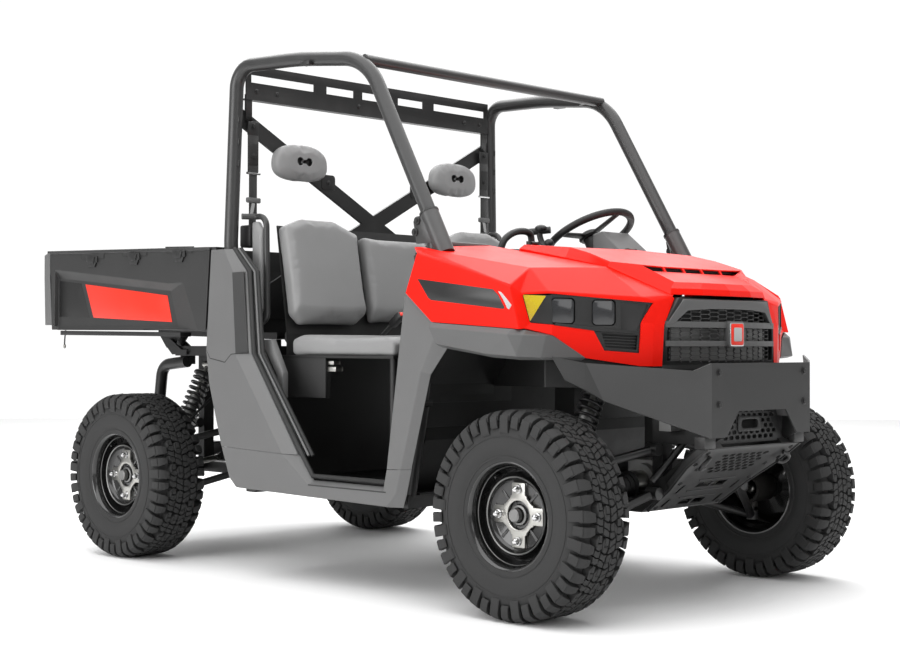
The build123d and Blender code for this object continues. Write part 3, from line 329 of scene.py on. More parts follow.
def front_plane(y: float) -> Matrix:
    """Points are (x, z) and depth runs towards -Y."""
    return plane((0, y, 0), (1, 0, 0), (0, 0, 1))


def lift(by: float) -> Matrix:
    """A shift along local z. From the ground, points are (x, y) and depth runs upwards."""
    return Matrix.Translation((0, 0, by))


def spin(turn: float) -> Matrix:
    """A turn about local x, in radians."""
    return Matrix.Rotation(turn, 4, "X")


def facing_front(x: float, y: float, z: float) -> Matrix:
    """A seat whose x axis points to the vehicle's front."""
    return plane((x, y, z), (0, -1, 0), (1, 0, 0))


def linked(made: Piece) -> Piece:
    """An object, put in the scene."""
    bpy.context.scene.collection.objects.link(made)
    return made


def from_front(points: Iterable[Point2]) -> list[Point2]:
    """Turns (behind the front axle, z) points into (y, z) points."""
    return [(fy(d), z) for d, z in points]


class Shape:
    """A mesh in the making, in millimetres."""

    def __init__(self) -> None:
        """Starts empty."""
        self.bm = bmesh.new()

    def take(self, part: bmesh.types.BMesh, place: Matrix = HERE, skin: int = 0) -> "Shape":
        """Moves a finished part into this shape.

        Args:
            part: the part, which is freed.
            place: where it goes.
            skin: its material number.

        Returns:
            This shape.
        """
        bmesh.ops.recalc_face_normals(part, faces=part.faces)
        bmesh.ops.transform(part, matrix=place, verts=part.verts)
        if place.determinant() < 0:
            bmesh.ops.reverse_faces(part, faces=part.faces)
        for face in part.faces:
            face.material_index = skin
        mesh = bpy.data.meshes.new("part")
        part.to_mesh(mesh)
        part.free()
        self.bm.from_mesh(mesh)
        bpy.data.meshes.remove(mesh)
        return self

    def prism(
        self,
        points: Sequence[Point2],
        place: Matrix,
        depth: float,
        round_by: float = 0.0,
        skin: int = 0,
        segments: int = 2,
    ) -> "Shape":
        """Adds an outline raised from its plane.

        Args:
            points: the outline's corners in the plane.
            place: the plane.
            depth: how far it is raised.
            round_by: bevel width of all its edges.
            skin: its material number.
            segments: steps of the bevel.

        Returns:
            This shape.
        """
        part = bmesh.new()
        face = part.faces.new([part.verts.new((u, v, 0)) for u, v in points])
        raised = bmesh.ops.extrude_face_region(part, geom=[face], use_keep_orig=True)["geom"]
        lifted = [g for g in raised if isinstance(g, bmesh.types.BMVert)]
        bmesh.ops.translate(part, verts=lifted, vec=(0, 0, depth))
        bmesh.ops.recalc_face_normals(part, faces=part.faces)
        if round_by:
            soften(part, round_by, segments)
        return self.take(part, place, skin)

    def block(
        self, xs: Point2, ys: Point2, zs: Point2, round_by: float = 0.0, skin: int = 0, segments: int = 2
    ) -> "Shape":
        """Adds a rectangular block spanning three ranges."""
        corners = [(xs[0], ys[0]), (xs[1], ys[0]), (xs[1], ys[1]), (xs[0], ys[1])]
        return self.prism(corners, lift(zs[0]), zs[1] - zs[0], round_by, skin, segments)

    def box(self, xs: Point2, ds: Point2, zs: Point2, round_by: float = 0.0, skin: int = 0) -> "Shape":
        """Adds a block whose second range lies behind the front axle."""
        return self.block(xs, (fy(ds[0]), fy(ds[1])), zs, round_by, skin)

    def side_prism(
        self, points: Sequence[Point2], x: float, depth: float, round_by: float = 0.0, skin: int = 0
    ) -> "Shape":
        """Adds an outline of (behind the front axle, z) points raised from an x towards +X."""
        return self.prism(from_front(points), side_plane(x), depth, round_by, skin)

    def front_prism(
        self, points: Sequence[Point2], d: float, depth: float, round_by: float = 0.0, skin: int = 0
    ) -> "Shape":
        """Adds an outline of (x, z) points raised forwards from a distance behind the front axle."""
        return self.prism(points, front_plane(fy(d)), depth, round_by, skin)

    def block_at(
        self, place: Matrix, us: Point2, vs: Point2, depth: float, skin: int = 0, round_by: float = 0.0
    ) -> "Shape":
        """Adds a block raised from a rectangle on a plane."""
        corners = [(us[0], vs[0]), (us[1], vs[0]), (us[1], vs[1]), (us[0], vs[1])]
        return self.prism(corners, place, depth, round_by, skin)

    def turned(
        self, profile: Sequence[Point2], place: Matrix, steps: int = 48, skin: int = 0, closed: bool = True
    ) -> "Shape":
        """Adds a shape turned about its local x axis.

        Args:
            profile: (along, radius) points.
            place: the matrix whose x axis is the turning axis.
            steps: steps round.
            skin: its material number.
            closed: whether the profile's end joins its start.

        Returns:
            This shape.
        """
        part = bmesh.new()
        ring = [part.verts.new((along, radius, 0)) for along, radius in profile]
        pairs = list(zip(ring, ring[1:] + ring[:1] if closed else ring[1:]))
        edges = [part.edges.new(pair) for pair in pairs]
        centre, axis = (0, 0, 0), (1, 0, 0)
        bmesh.ops.spin(
            part, geom=ring + edges, cent=centre, axis=axis, angle=math.tau, steps=steps, use_merge=True
        )
        bmesh.ops.remove_doubles(part, verts=part.verts, dist=0.001)
        return self.take(part, place, skin)

    def rod(self, start: Point3, end: Point3, radius: float, steps: int = 16, skin: int = 0) -> "Shape":
        """Adds a round bar between two points."""
        run = Vector(end) - Vector(start)
        helper = Vector((0, 0, 1)) if abs(run.normalized().z) < 0.9 else Vector((1, 0, 0))
        place = plane(start, tuple(run), tuple(helper))
        return self.turned(
            [(0, 0), (0, radius), (run.length, radius), (run.length, 0)], place, steps, skin, False
        )

    def pipe(
        self, points: Sequence[Point3], radius: float, skin: int = 0, steps: int = 6, smooth: bool = True
    ) -> "Shape":
        """Adds a bent tube along a route.

        Args:
            points: the route's points.
            radius: the tube's radius.
            skin: its material number.
            steps: curve steps between points.
            smooth: a smooth curve through the route instead of straight runs.

        Returns:
            This shape.
        """
        curve = bpy.data.curves.new("route", "CURVE")
        curve.dimensions, curve.bevel_depth, curve.bevel_resolution = "3D", radius, 4
        curve.use_fill_caps, curve.resolution_u = True, steps
        spline = curve.splines.new("NURBS" if smooth else "POLY")
        spline.points.add(len(points) - 1)
        for node, point in zip(spline.points, points):
            node.co = (*point, 1)
        if smooth:
            spline.order_u, spline.use_endpoint_u = 3, True
        holder = bpy.data.objects.new("route", curve)
        mesh = bpy.data.meshes.new_from_object(holder)
        part = bmesh.new()
        part.from_mesh(mesh)
        bpy.data.objects.remove(holder)
        bpy.data.curves.remove(curve)
        bpy.data.meshes.remove(mesh)
        bmesh.ops.remove_doubles(part, verts=part.verts, dist=0.001)
        return self.take(part, skin=skin)

    def ball(self, centre: Point3, radius: Point3, skin: int = 0) -> "Shape":
        """Adds an ellipsoid."""
        part = bmesh.new()
        bmesh.ops.create_uvsphere(part, u_segments=20, v_segments=12, radius=1)
        return self.take(part, Matrix.Translation(centre) @ Matrix.Diagonal((*radius, 1)), skin)

    def shell(
        self,
        points: dict[str, Point3],
        faces: Sequence[str],
        depth: float,
        inside: Point3,
        crease: float = 4.0,
        skin: int = 0,
    ) -> "Shape":
        """Adds a faceted skin with a thickness.

        Args:
            points: each corner's name with its x, distance behind the front axle and z.
            faces: the facets, each a line of corner names.
            depth: its thickness, inwards.
            inside: a place on its inner side.
            crease: bevel width of the edges between facets.
            skin: its material number.

        Returns:
            This shape.
        """
        part = bmesh.new()
        corners = {key: part.verts.new((x, fy(d), z)) for key, (x, d, z) in points.items()}
        for line in faces:
            part.faces.new([corners[key] for key in line.split()])
        bmesh.ops.recalc_face_normals(part, faces=part.faces)
        part.faces.ensure_lookup_table()
        first = part.faces[0]
        if first.normal.dot(first.calc_center_median() - Vector((inside[0], fy(inside[1]), inside[2]))) < 0:
            bmesh.ops.reverse_faces(part, faces=part.faces)
        if crease:
            soften(part, crease, 3, 6)
        thicken(part, depth)
        return self.take(part, skin=skin)

    def node(self, name: str, skin: int = 0) -> "Shape":
        """Adds a merged copy of a solid's mesh, with its flat faces made whole again."""
        part = bmesh.new()
        part.from_mesh(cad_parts[name].data)
        bmesh.ops.scale(part, vec=(1 / MM,) * 3, verts=part.verts)
        bmesh.ops.remove_doubles(part, verts=part.verts, dist=0.02)
        bmesh.ops.dissolve_limit(part, angle_limit=math.radians(0.8), verts=part.verts, edges=part.edges)
        return self.take(part, skin=skin)

    def join(self, other: "Shape", place: Matrix = HERE) -> "Shape":
        """Adds a copy of another shape, keeping its materials."""
        mesh = bpy.data.meshes.new("part")
        copy = other.bm.copy()
        bmesh.ops.transform(copy, matrix=place, verts=copy.verts)
        if place.determinant() < 0:
            bmesh.ops.reverse_faces(copy, faces=copy.faces)
        copy.to_mesh(mesh)
        copy.free()
        self.bm.from_mesh(mesh)
        bpy.data.meshes.remove(mesh)
        return self

    def cut(self, tool: "Shape", skin: int | None = None, tidy: bool = True) -> "Shape":
        """Takes another shape's volume away from this one.

        Args:
            tool: the volume to remove.
            skin: a material number for the cut's walls, or None for this shape's own.
            tidy: whether flat faces are made whole again afterwards.

        Returns:
            This shape.
        """
        if skin is not None:
            for face in tool.bm.faces:
                face.material_index = skin
        objects = []
        for shape in (self, tool):
            mesh = bpy.data.meshes.new("cut")
            shape.bm.to_mesh(mesh)
            for _ in range(4):
                mesh.materials.append(None)
            holder = linked(bpy.data.objects.new("cut", mesh))
            objects.append(holder)
        change = objects[0].modifiers.new("cut", "BOOLEAN")
        change.operation, change.solver, change.object = "DIFFERENCE", "EXACT", objects[1]
        result = evaluated_mesh(objects[0])
        self.bm.clear()
        self.bm.from_mesh(result)
        for holder in objects:
            mesh = holder.data
            bpy.data.objects.remove(holder)
            bpy.data.meshes.remove(mesh)
        bpy.data.meshes.remove(result)
        if tidy:
            bmesh.ops.dissolve_limit(
                self.bm, angle_limit=math.radians(0.5), verts=self.bm.verts, edges=self.bm.edges
            )
        return self

    def slice(self, point: Point3, normal: Point3) -> "Shape":
        """Cuts off what lies beyond a plane and closes the cut."""
        everything = self.bm.verts[:] + self.bm.edges[:] + self.bm.faces[:]
        done = bmesh.ops.bisect_plane(
            self.bm, geom=everything, dist=0.001, plane_co=point, plane_no=normal, clear_outer=True
        )
        rim = [g for g in done["geom_cut"] if isinstance(g, bmesh.types.BMEdge)]
        bmesh.ops.edgeloop_fill(self.bm, edges=rim)
        return self

    def soften(self, width: float, segments: int = 2, angle: float = 28.0) -> "Shape":
        """Rounds the edges sharper than an angle."""
        bmesh.ops.recalc_face_normals(self.bm, faces=self.bm.faces)
        soften(self.bm, width, segments, angle)
        return self

    def mirrored(self) -> "Shape":
        """Adds the other side of the vehicle."""
        other = Shape()
        other.bm.free()
        other.bm = self.bm.copy()
        return self.join(other, Matrix.Diagonal((-1, 1, 1, 1)))

    def build(
        self,
        name: str,
        finishes: Sequence[Finish],
        slot: str,
        replaces: Sequence[str] = (),
        angle: float = 32.0,
        weighted: bool = False,
        body: str = "chassis",
    ) -> Piece:
        """Makes the object.

        Args:
            name: its name.
            finishes: one finish for each material number.
            slot: not used.
            replaces: the solids it stands for.
            angle: edges sharper than this stay sharp.
            weighted: whether flat faces keep their own shading beside their rounded edges.
            body: the body it rides on.

        Returns:
            The object.
        """
        bmesh.ops.remove_doubles(self.bm, verts=self.bm.verts, dist=0.005)
        bmesh.ops.scale(self.bm, vec=(MM,) * 3, verts=self.bm.verts)
        mesh = bpy.data.meshes.new(name)
        self.bm.to_mesh(mesh)
        self.bm.free()
        for finish in finishes:
            mesh.materials.append(finish.make())
        mesh.shade_smooth()
        mesh.set_sharp_from_angle(angle=math.radians(angle))
        made = linked(bpy.data.objects.new(name, mesh))
        if weighted:
            made.modifiers.new("weighted", "WEIGHTED_NORMAL").keep_sharp = True
        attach(made, body)
        if replaces:
            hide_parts(*replaces)
        log.info("%s: %d faces on %s", name, len(mesh.polygons), body)
        return made


def evaluated_mesh(holder: Piece) -> bpy.types.Mesh:
    """A new mesh of an object with its modifiers applied."""
    return bpy.data.meshes.new_from_object(holder.evaluated_get(bpy.context.evaluated_depsgraph_get()))


def soften(part: bmesh.types.BMesh, width: float, segments: int = 2, angle: float = 28.0) -> None:
    """Bevels a mesh's edges that are sharper than an angle in degrees."""
    part.normal_update()
    limit = math.radians(angle)
    sharp = [e for e in part.edges if len(e.link_faces) == 2 and e.calc_face_angle(0.0) > limit]
    bmesh.ops.bevel(
        part,
        geom=sharp,
        offset=width,
        offset_type="OFFSET",
        segments=segments,
        profile=0.5,
        affect="EDGES",
        clamp_overlap=True,
        material=-1,
        harden_normals=False,
    )
    bmesh.ops.remove_doubles(part, verts=part.verts, dist=0.01)


def thicken(part: bmesh.types.BMesh, depth: float) -> None:
    """Gives an open skin a thickness, away from the side its faces point to."""
    part.normal_update()
    inwards = {tuple(round(c, 4) for c in v.co): -v.normal for v in part.verts}
    made = bmesh.ops.extrude_face_region(part, geom=part.faces[:], use_keep_orig=True)["geom"]
    for vert in [g for g in made if isinstance(g, bmesh.types.BMVert)]:
        vert.co += inwards[tuple(round(c, 4) for c in vert.co)] * depth


def ring_of(count: int, radius: float, place: Matrix, phase: float = 0.0) -> list[Matrix]:
    """Places round a circle in the y-z plane of a matrix, each with its z axis pointing outwards."""
    found = []
    for step in range(count):
        turn = spin(phase + math.tau * step / count)
        found.append(place @ turn @ lift(radius))
    return found


def mirror_x(points: Iterable[Point2]) -> list[Point2]:
    """Points with their first number's sign changed, in the opposite order."""
    return [(-u, v) for u, v in reversed(list(points))]


def bolt(place: Matrix, across: float, height: float, skin: int = 0) -> Shape:
    """A hexagon flange bolt head standing on the place's x axis.

    Args:
        place: its seat, with x pointing away from the surface.
        across: half the width over its corners.
        height: how far it stands out.
        skin: its material number.

    Returns:
        The shape.
    """
    made = Shape()
    washer = across * 1.35
    made.turned([(0, 0), (0, washer), (1.6, washer), (2.4, washer * 0.9), (2.4, 0)], place, 20, closed=False)
    corners = [(across * math.cos(math.tau * k / 6), across * math.sin(math.tau * k / 6)) for k in range(6)]
    made.prism(corners, place @ plane((1, 0, 0), (0, 1, 0), (0, 0, 1)), height, across * 0.12)
    return repainted(made, skin)


def repainted(shape: Shape, skin: int) -> Shape:
    """A shape with all its faces given one material number."""
    for face in shape.bm.faces:
        face.material_index = skin
    return shape


def rounded_box(
    middle: Point2, half_wide: float, half_high: float, corner: float, steps: int = 5
) -> list[Point2]:
    """The outline of a rectangle with rounded corners.

    Args:
        middle: its centre.
        half_wide: half its width.
        half_high: half its height.
        corner: its corner radius.
        steps: points round each corner.

    Returns:
        The outline's points.
    """
    found = []
    for quarter, (x_sign, y_sign) in enumerate(((1, 1), (-1, 1), (-1, -1), (1, -1))):
        for step in range(steps):
            turn = math.pi / 2 * (quarter + step / (steps - 1))
            u = middle[0] + x_sign * (half_wide - corner) + corner * math.cos(turn)
            found.append((u, middle[1] + y_sign * (half_high - corner) + corner * math.sin(turn)))
    return found


def wheel_nut(place: Matrix) -> Shape:
    """A conical-seat wheel nut with a domed end, standing on the place's x axis."""
    made = Shape()
    corners = [(11.0 * math.cos(math.tau * k / 6), 11.0 * math.sin(math.tau * k / 6)) for k in range(6)]
    made.prism(corners, place @ plane((2, 0, 0), (0, 1, 0), (0, 0, 1)), 13, 1.2)
    made.turned([(0, 0), (0, 14), (3, 12.5), (3, 0)], place, 24, closed=False)
    made.turned([(14, 0), (14, 9.4), (18, 8.6), (21, 5.5), (22, 0)], place, 20, closed=False)
    return made


@dataclass
class Wheel:
    """A block-tread tyre on a stepped steel rim, with its hub plate, wheel nuts and centre cap."""

    corner: str
    side: int
    axle_y: float
    track: float = 646.0
    pitches: int = 21
    outer_r: float = 316.6
    nut_ring: float = 78.0
    groove_r: float = 291.0
    bead: Point2 = (70.0, 154.5)
    steps: int = 96
    face: float = 39.0
    sidewall: tuple[Point2, ...] = (
        (84, 154.5), (90, 160), (95, 163), (98, 170), (99, 182), (103, 190), (106, 203), (106.5, 225),
        (106, 242),
        (104, 255), (99, 268), (91, 280), (78, 289), (56, 294), (28, 296), (0, 296.5),
    )
    barrel: tuple[Point2, ...] = (
        (95, 158), (97, 161), (95, 164), (90, 164), (86, 157), (60, 155), (44, 153), (34, 140), (-44, 140),
        (-54, 153),
        (-84, 156), (-90, 163), (-96, 163), (-96, 158), (-86, 150), (-60, 147), (-50, 134), (12, 134),
        (30, 134),
        (46, 144), (62, 146.5), (64, 149), (84, 150.5), (91, 155),
    )
    disc: tuple[Point2, ...] = (
        (30, 135), (34, 128), (46, 121), (58, 118.5), (60, 116), (58, 113), (50, 110), (42, 104), (39, 97),
        (38, 66),
        (30, 50), (30, 27), (24, 27), (24, 50), (31, 66), (31, 97), (34, 108), (44, 113), (36, 120),
        (22, 134),
    )

    def place(self) -> Matrix:
        """The wheel's own axes: x outboard along the axle, z up."""
        return plane((self.side * self.track, self.axle_y, AXLE_Z), (self.side, 0, 0), (0, self.side, 0))

    def lug(self, points: Sequence[Point2], top: float) -> Shape:
        """A centre block of the tread: an outline of (across, along the tread) points up to a radius."""
        made = Shape().prism(points, lift(self.groove_r), top - self.groove_r)
        middle = (sum(p[0] for p in points) / len(points), sum(p[1] for p in points) / len(points))
        for vert in made.bm.verts:
            if vert.co.z < 300:
                vert.co.x += (vert.co.x - middle[0]) * 0.14
                vert.co.y += (vert.co.y - middle[1]) * 0.14
        return made.soften(0.9, 1, 20)

    def shoulder(self, reach: float, width: float, inner: float, skew: float) -> Shape:
        """A shoulder block that wraps from the tread onto the sidewall.

        Args:
            reach: the radius it comes down to on the sidewall.
            width: its width along the tread.
            inner: where its inner end lies across the tread.
            skew: how far its inner end is turned along the tread.

        Returns:
            The block, on the outboard side at the top of the wheel.
        """
        top = self.outer_r
        section = [
            (inner, 292), (inner + 3, top), (84, top - 2), (99, top - 10), (106, 298), (106, 286), (88, 280),
            (70, 288),
        ]
        made = Shape().prism(section, plane((0, width / 2, 0), (1, 0, 0), (0, 0, 1)), width)
        for vert in made.bm.verts:
            inward = max(0.0, (100 - vert.co.x) / (100 - inner))
            vert.co.y = vert.co.y * (1 - 0.45 * inward**3) + skew * inward
        made.soften(1.1, 1, 20)
        flank = [(96, 300), (107.5, 301), (110.4, 288), (110.6, reach + 6), (106, reach), (100, reach + 6)]
        panel = Shape().prism(flank, plane((0, width * 0.4, 0), (1, 0, 0), (0, 0, 1)), width * 0.92)
        return made.join(panel.soften(1.1, 1, 20))

    def tread(self) -> Shape:
        """The blocks of one pitch, both sides, each centre block split by a narrow slot."""
        pitch = Shape()
        blocks = (
            [(2, -22), (17, -27), (19, -2), (3, -2)], [(19, -26), (30, -12), (27, 12), (21, 0)],
            [(2, 1), (19, 1), (25, 14), (10, 21), (2, 14)],
            [(3, 25), (14, 26), (28, 18), (30, 34), (16, 40), (5, 48)],
            [(5, 52), (16, 44), (29, 39), (31, 55), (20, 62), (4, 66)],
            [(34, -34), (47, -38), (49, -16), (33, -14)],
            [(50, -37), (60, -26), (58, -4), (51, -14)], [(32, -11), (50, -11), (57, 0), (42, 9), (30, 4)],
            [(33, 10), (43, 13), (57, 6), (61, 20), (48, 29), (35, 30)],
            [(35, 34), (48, 33), (61, 26), (60, 44), (47, 52), (34, 50)],
        )
        step = math.tau / self.pitches
        long_block = self.shoulder(246, 35, 62, 6)
        short_block = self.shoulder(262, 30, 66, -3)
        for mirror, phase in ((1, 0.0), (-1, step * 0.45)):
            half = spin(phase) @ Matrix.Diagonal((mirror, 1, 1, 1))
            pitch.join(long_block, half)
            pitch.join(short_block, half @ spin(step / 2))
            for number, points in enumerate(blocks):
                turned = spin(points[0][1] / self.outer_r)
                flat = [(x, y - points[0][1]) for x, y in points]
                pitch.join(self.lug(flat, self.outer_r - 0.5 * (number % 3)), half @ turned.inverted())
        return pitch

    def make_tyre(self) -> Piece:
        """The carcass with its tread and sidewall rings."""
        made = Shape()
        outer = [*self.sidewall, *((-a, r) for a, r in reversed(self.sidewall[:-1]))]
        bead, bead_r = self.bead
        made.turned(
            outer + [(-bead, bead_r), (-90, 200), (-80, 282), (80, 282), (90, 200), (bead, bead_r)], HERE, 116
        )
        for radius, half_width, stand in ((178, 2.0, 100.4), (238, 0.9, 107.6)):
            for face in SIDES:
                rim = [(face * (stand - 3), radius - half_width * 2), (face * stand, radius - half_width)]
                rim += [(face * stand, radius + half_width), (face * (stand - 3), radius + half_width * 2)]
                made.turned(rim, HERE, self.steps)
        pitch = self.tread()
        for step in range(self.pitches):
            made.join(pitch, spin(math.tau * step / self.pitches))
        wheel = Shape().join(made, self.place())
        corner = self.corner
        return wheel.build(
            f"tyre_{corner}_tread", [TYRE], "tyre_rubber", [f"tyre_{corner}"], 24, body=f"wheel_{corner}"
        )

    def hub_arms(self) -> list[Point2]:
        """The outline of the four-armed hub plate."""
        arms: list[Point2] = []
        arm = (
            (51, -33), (57, -32), (60, -26), (94, -26), (97, -23), (97, 23), (94, 26), (60, 26), (57, 32),
            (51, 33),
        )
        for step in range(4):
            turn = math.tau * step / 4
            for radius, offset in arm:
                u = radius * math.cos(turn) - offset * math.sin(turn)
                arms.append((u, radius * math.sin(turn) + offset * math.cos(turn)))
        return arms

    def make_rim(self) -> Piece:
        """The rim: stepped barrel, dished disc, hub plate with four arms, nuts and the axle's cap."""
        made = Shape()
        made.turned(self.barrel, HERE, self.steps)
        made.turned(self.disc, HERE, self.steps)
        # Painted highlight: a thin bright ring on the disc's rolled lip, in the alloy colour (material 5).
        made.join(repainted(
            Shape().turned([(58.5, 118.2), (61, 116.4), (58.5, 113.4), (56, 116)], HERE, self.steps), 5,
        ))
        # Painted highlights: thin bright rings at the outer lip and the barrel's steps, in the alloy colour.
        for ring, at in ((164.2, 91.0), (155.6, 88.0), (148, 62.5)):
            made.turned(
                [(at, ring), (at + 1.6, ring + 0.8), (at + 2.6, ring - 0.6), (at + 1, ring - 1.6)], HERE,
                self.steps, 5,
            )
        for step in range(12):
            spoke = [(54, -3.2), (100, -5.5), (100, 5.5), (54, 3.2)]
            turn = spin(math.tau * (step + 0.5) / 12)
            made.prism(spoke, turn @ plane((36, 0, 0), (0, 0, 1), (0, -1, 0)), 5.0, 1.2)
        hub = Shape().prism(self.hub_arms(), plane((self.face - 1, 0, 0), (0, 1, 0), (0, 0, 1)), 8.0)
        hub.cut(Shape().rod((0, 0, 0), (90, 0, 0), 44, 40)).soften(1.4, 2)
        made.join(repainted(hub, 1))
        made.turned([(24, 44), (36, 44), (38, 40), (38, 34), (26, 34)], HERE, 48)
        made.turned([(26, 0), (40, 0), (52, 0), (52, 21), (66, 20.5), (69, 17), (69, 0)], HERE, 32, 5, False)
        made.turned([(26, 31), (44, 30), (46, 24), (30, 22)], HERE, 40, 5)
        for step in range(3):
            rib = [(20, -5), (43, -8), (43, 8), (20, 5)]
            turn = spin(math.tau * (step + 0.25) / 3)
            made.prism(rib, turn @ plane((28, 0, 0), (0, 0, 1), (0, -1, 0)), 12.0, 1.0, 2)
        for step in range(4):
            turn = spin(math.tau * step / 4) @ Matrix.Translation((self.face + 7, 0, self.nut_ring))
            made.join(repainted(wheel_nut(turn), 3))
        valve = spin(0.6)
        made.join(repainted(Shape().rod((44, 0, 139), (66, 0, 133), 3.6, 12), 4), valve)
        wheel = Shape().join(made, self.place())
        finishes = [RIM_COAT, HUB_PLATE, BLACK_PANEL, CHROME, RUBBER, CAST_ALLOY_AND_RIM_HIGHLIGHT]
        return wheel.build(
            f"rim_{self.corner}_dressed", finishes, "rim_black", [f"rim_{self.corner}"],
            body=f"wheel_{self.corner}",
        )

    def build(self) -> list[Piece]:
        """Both pieces of the wheel."""
        return [self.make_tyre(), self.make_rim()]


LEG = 655.0
CORNER = (
    (640.0, -72.0), (346.0, -244.0)
)  # the body's front corner face seen from above, (x, behind the front axle)


def corner_plane(out: float = 0.0) -> Matrix:
    """A plane in the left corner face, with z as its second axis."""
    (x0, d0), (x1, d1) = CORNER
    run = Vector((x0 - x1, d0 - d1))
    face = plane((x1, fy(d1), 0), (run.x, run.y, 0), (0, 0, 1))
    return face @ lift(out)


def on_corner(points: Iterable[Point2]) -> list[Point2]:
    """(x, z) points turned into the corner plane's own coordinates."""
    (x0, d0), (x1, d1) = CORNER
    stretch = math.hypot(x0 - x1, d0 - d1) / (x0 - x1)
    return [((x - x1) * stretch, z) for x, z in points]


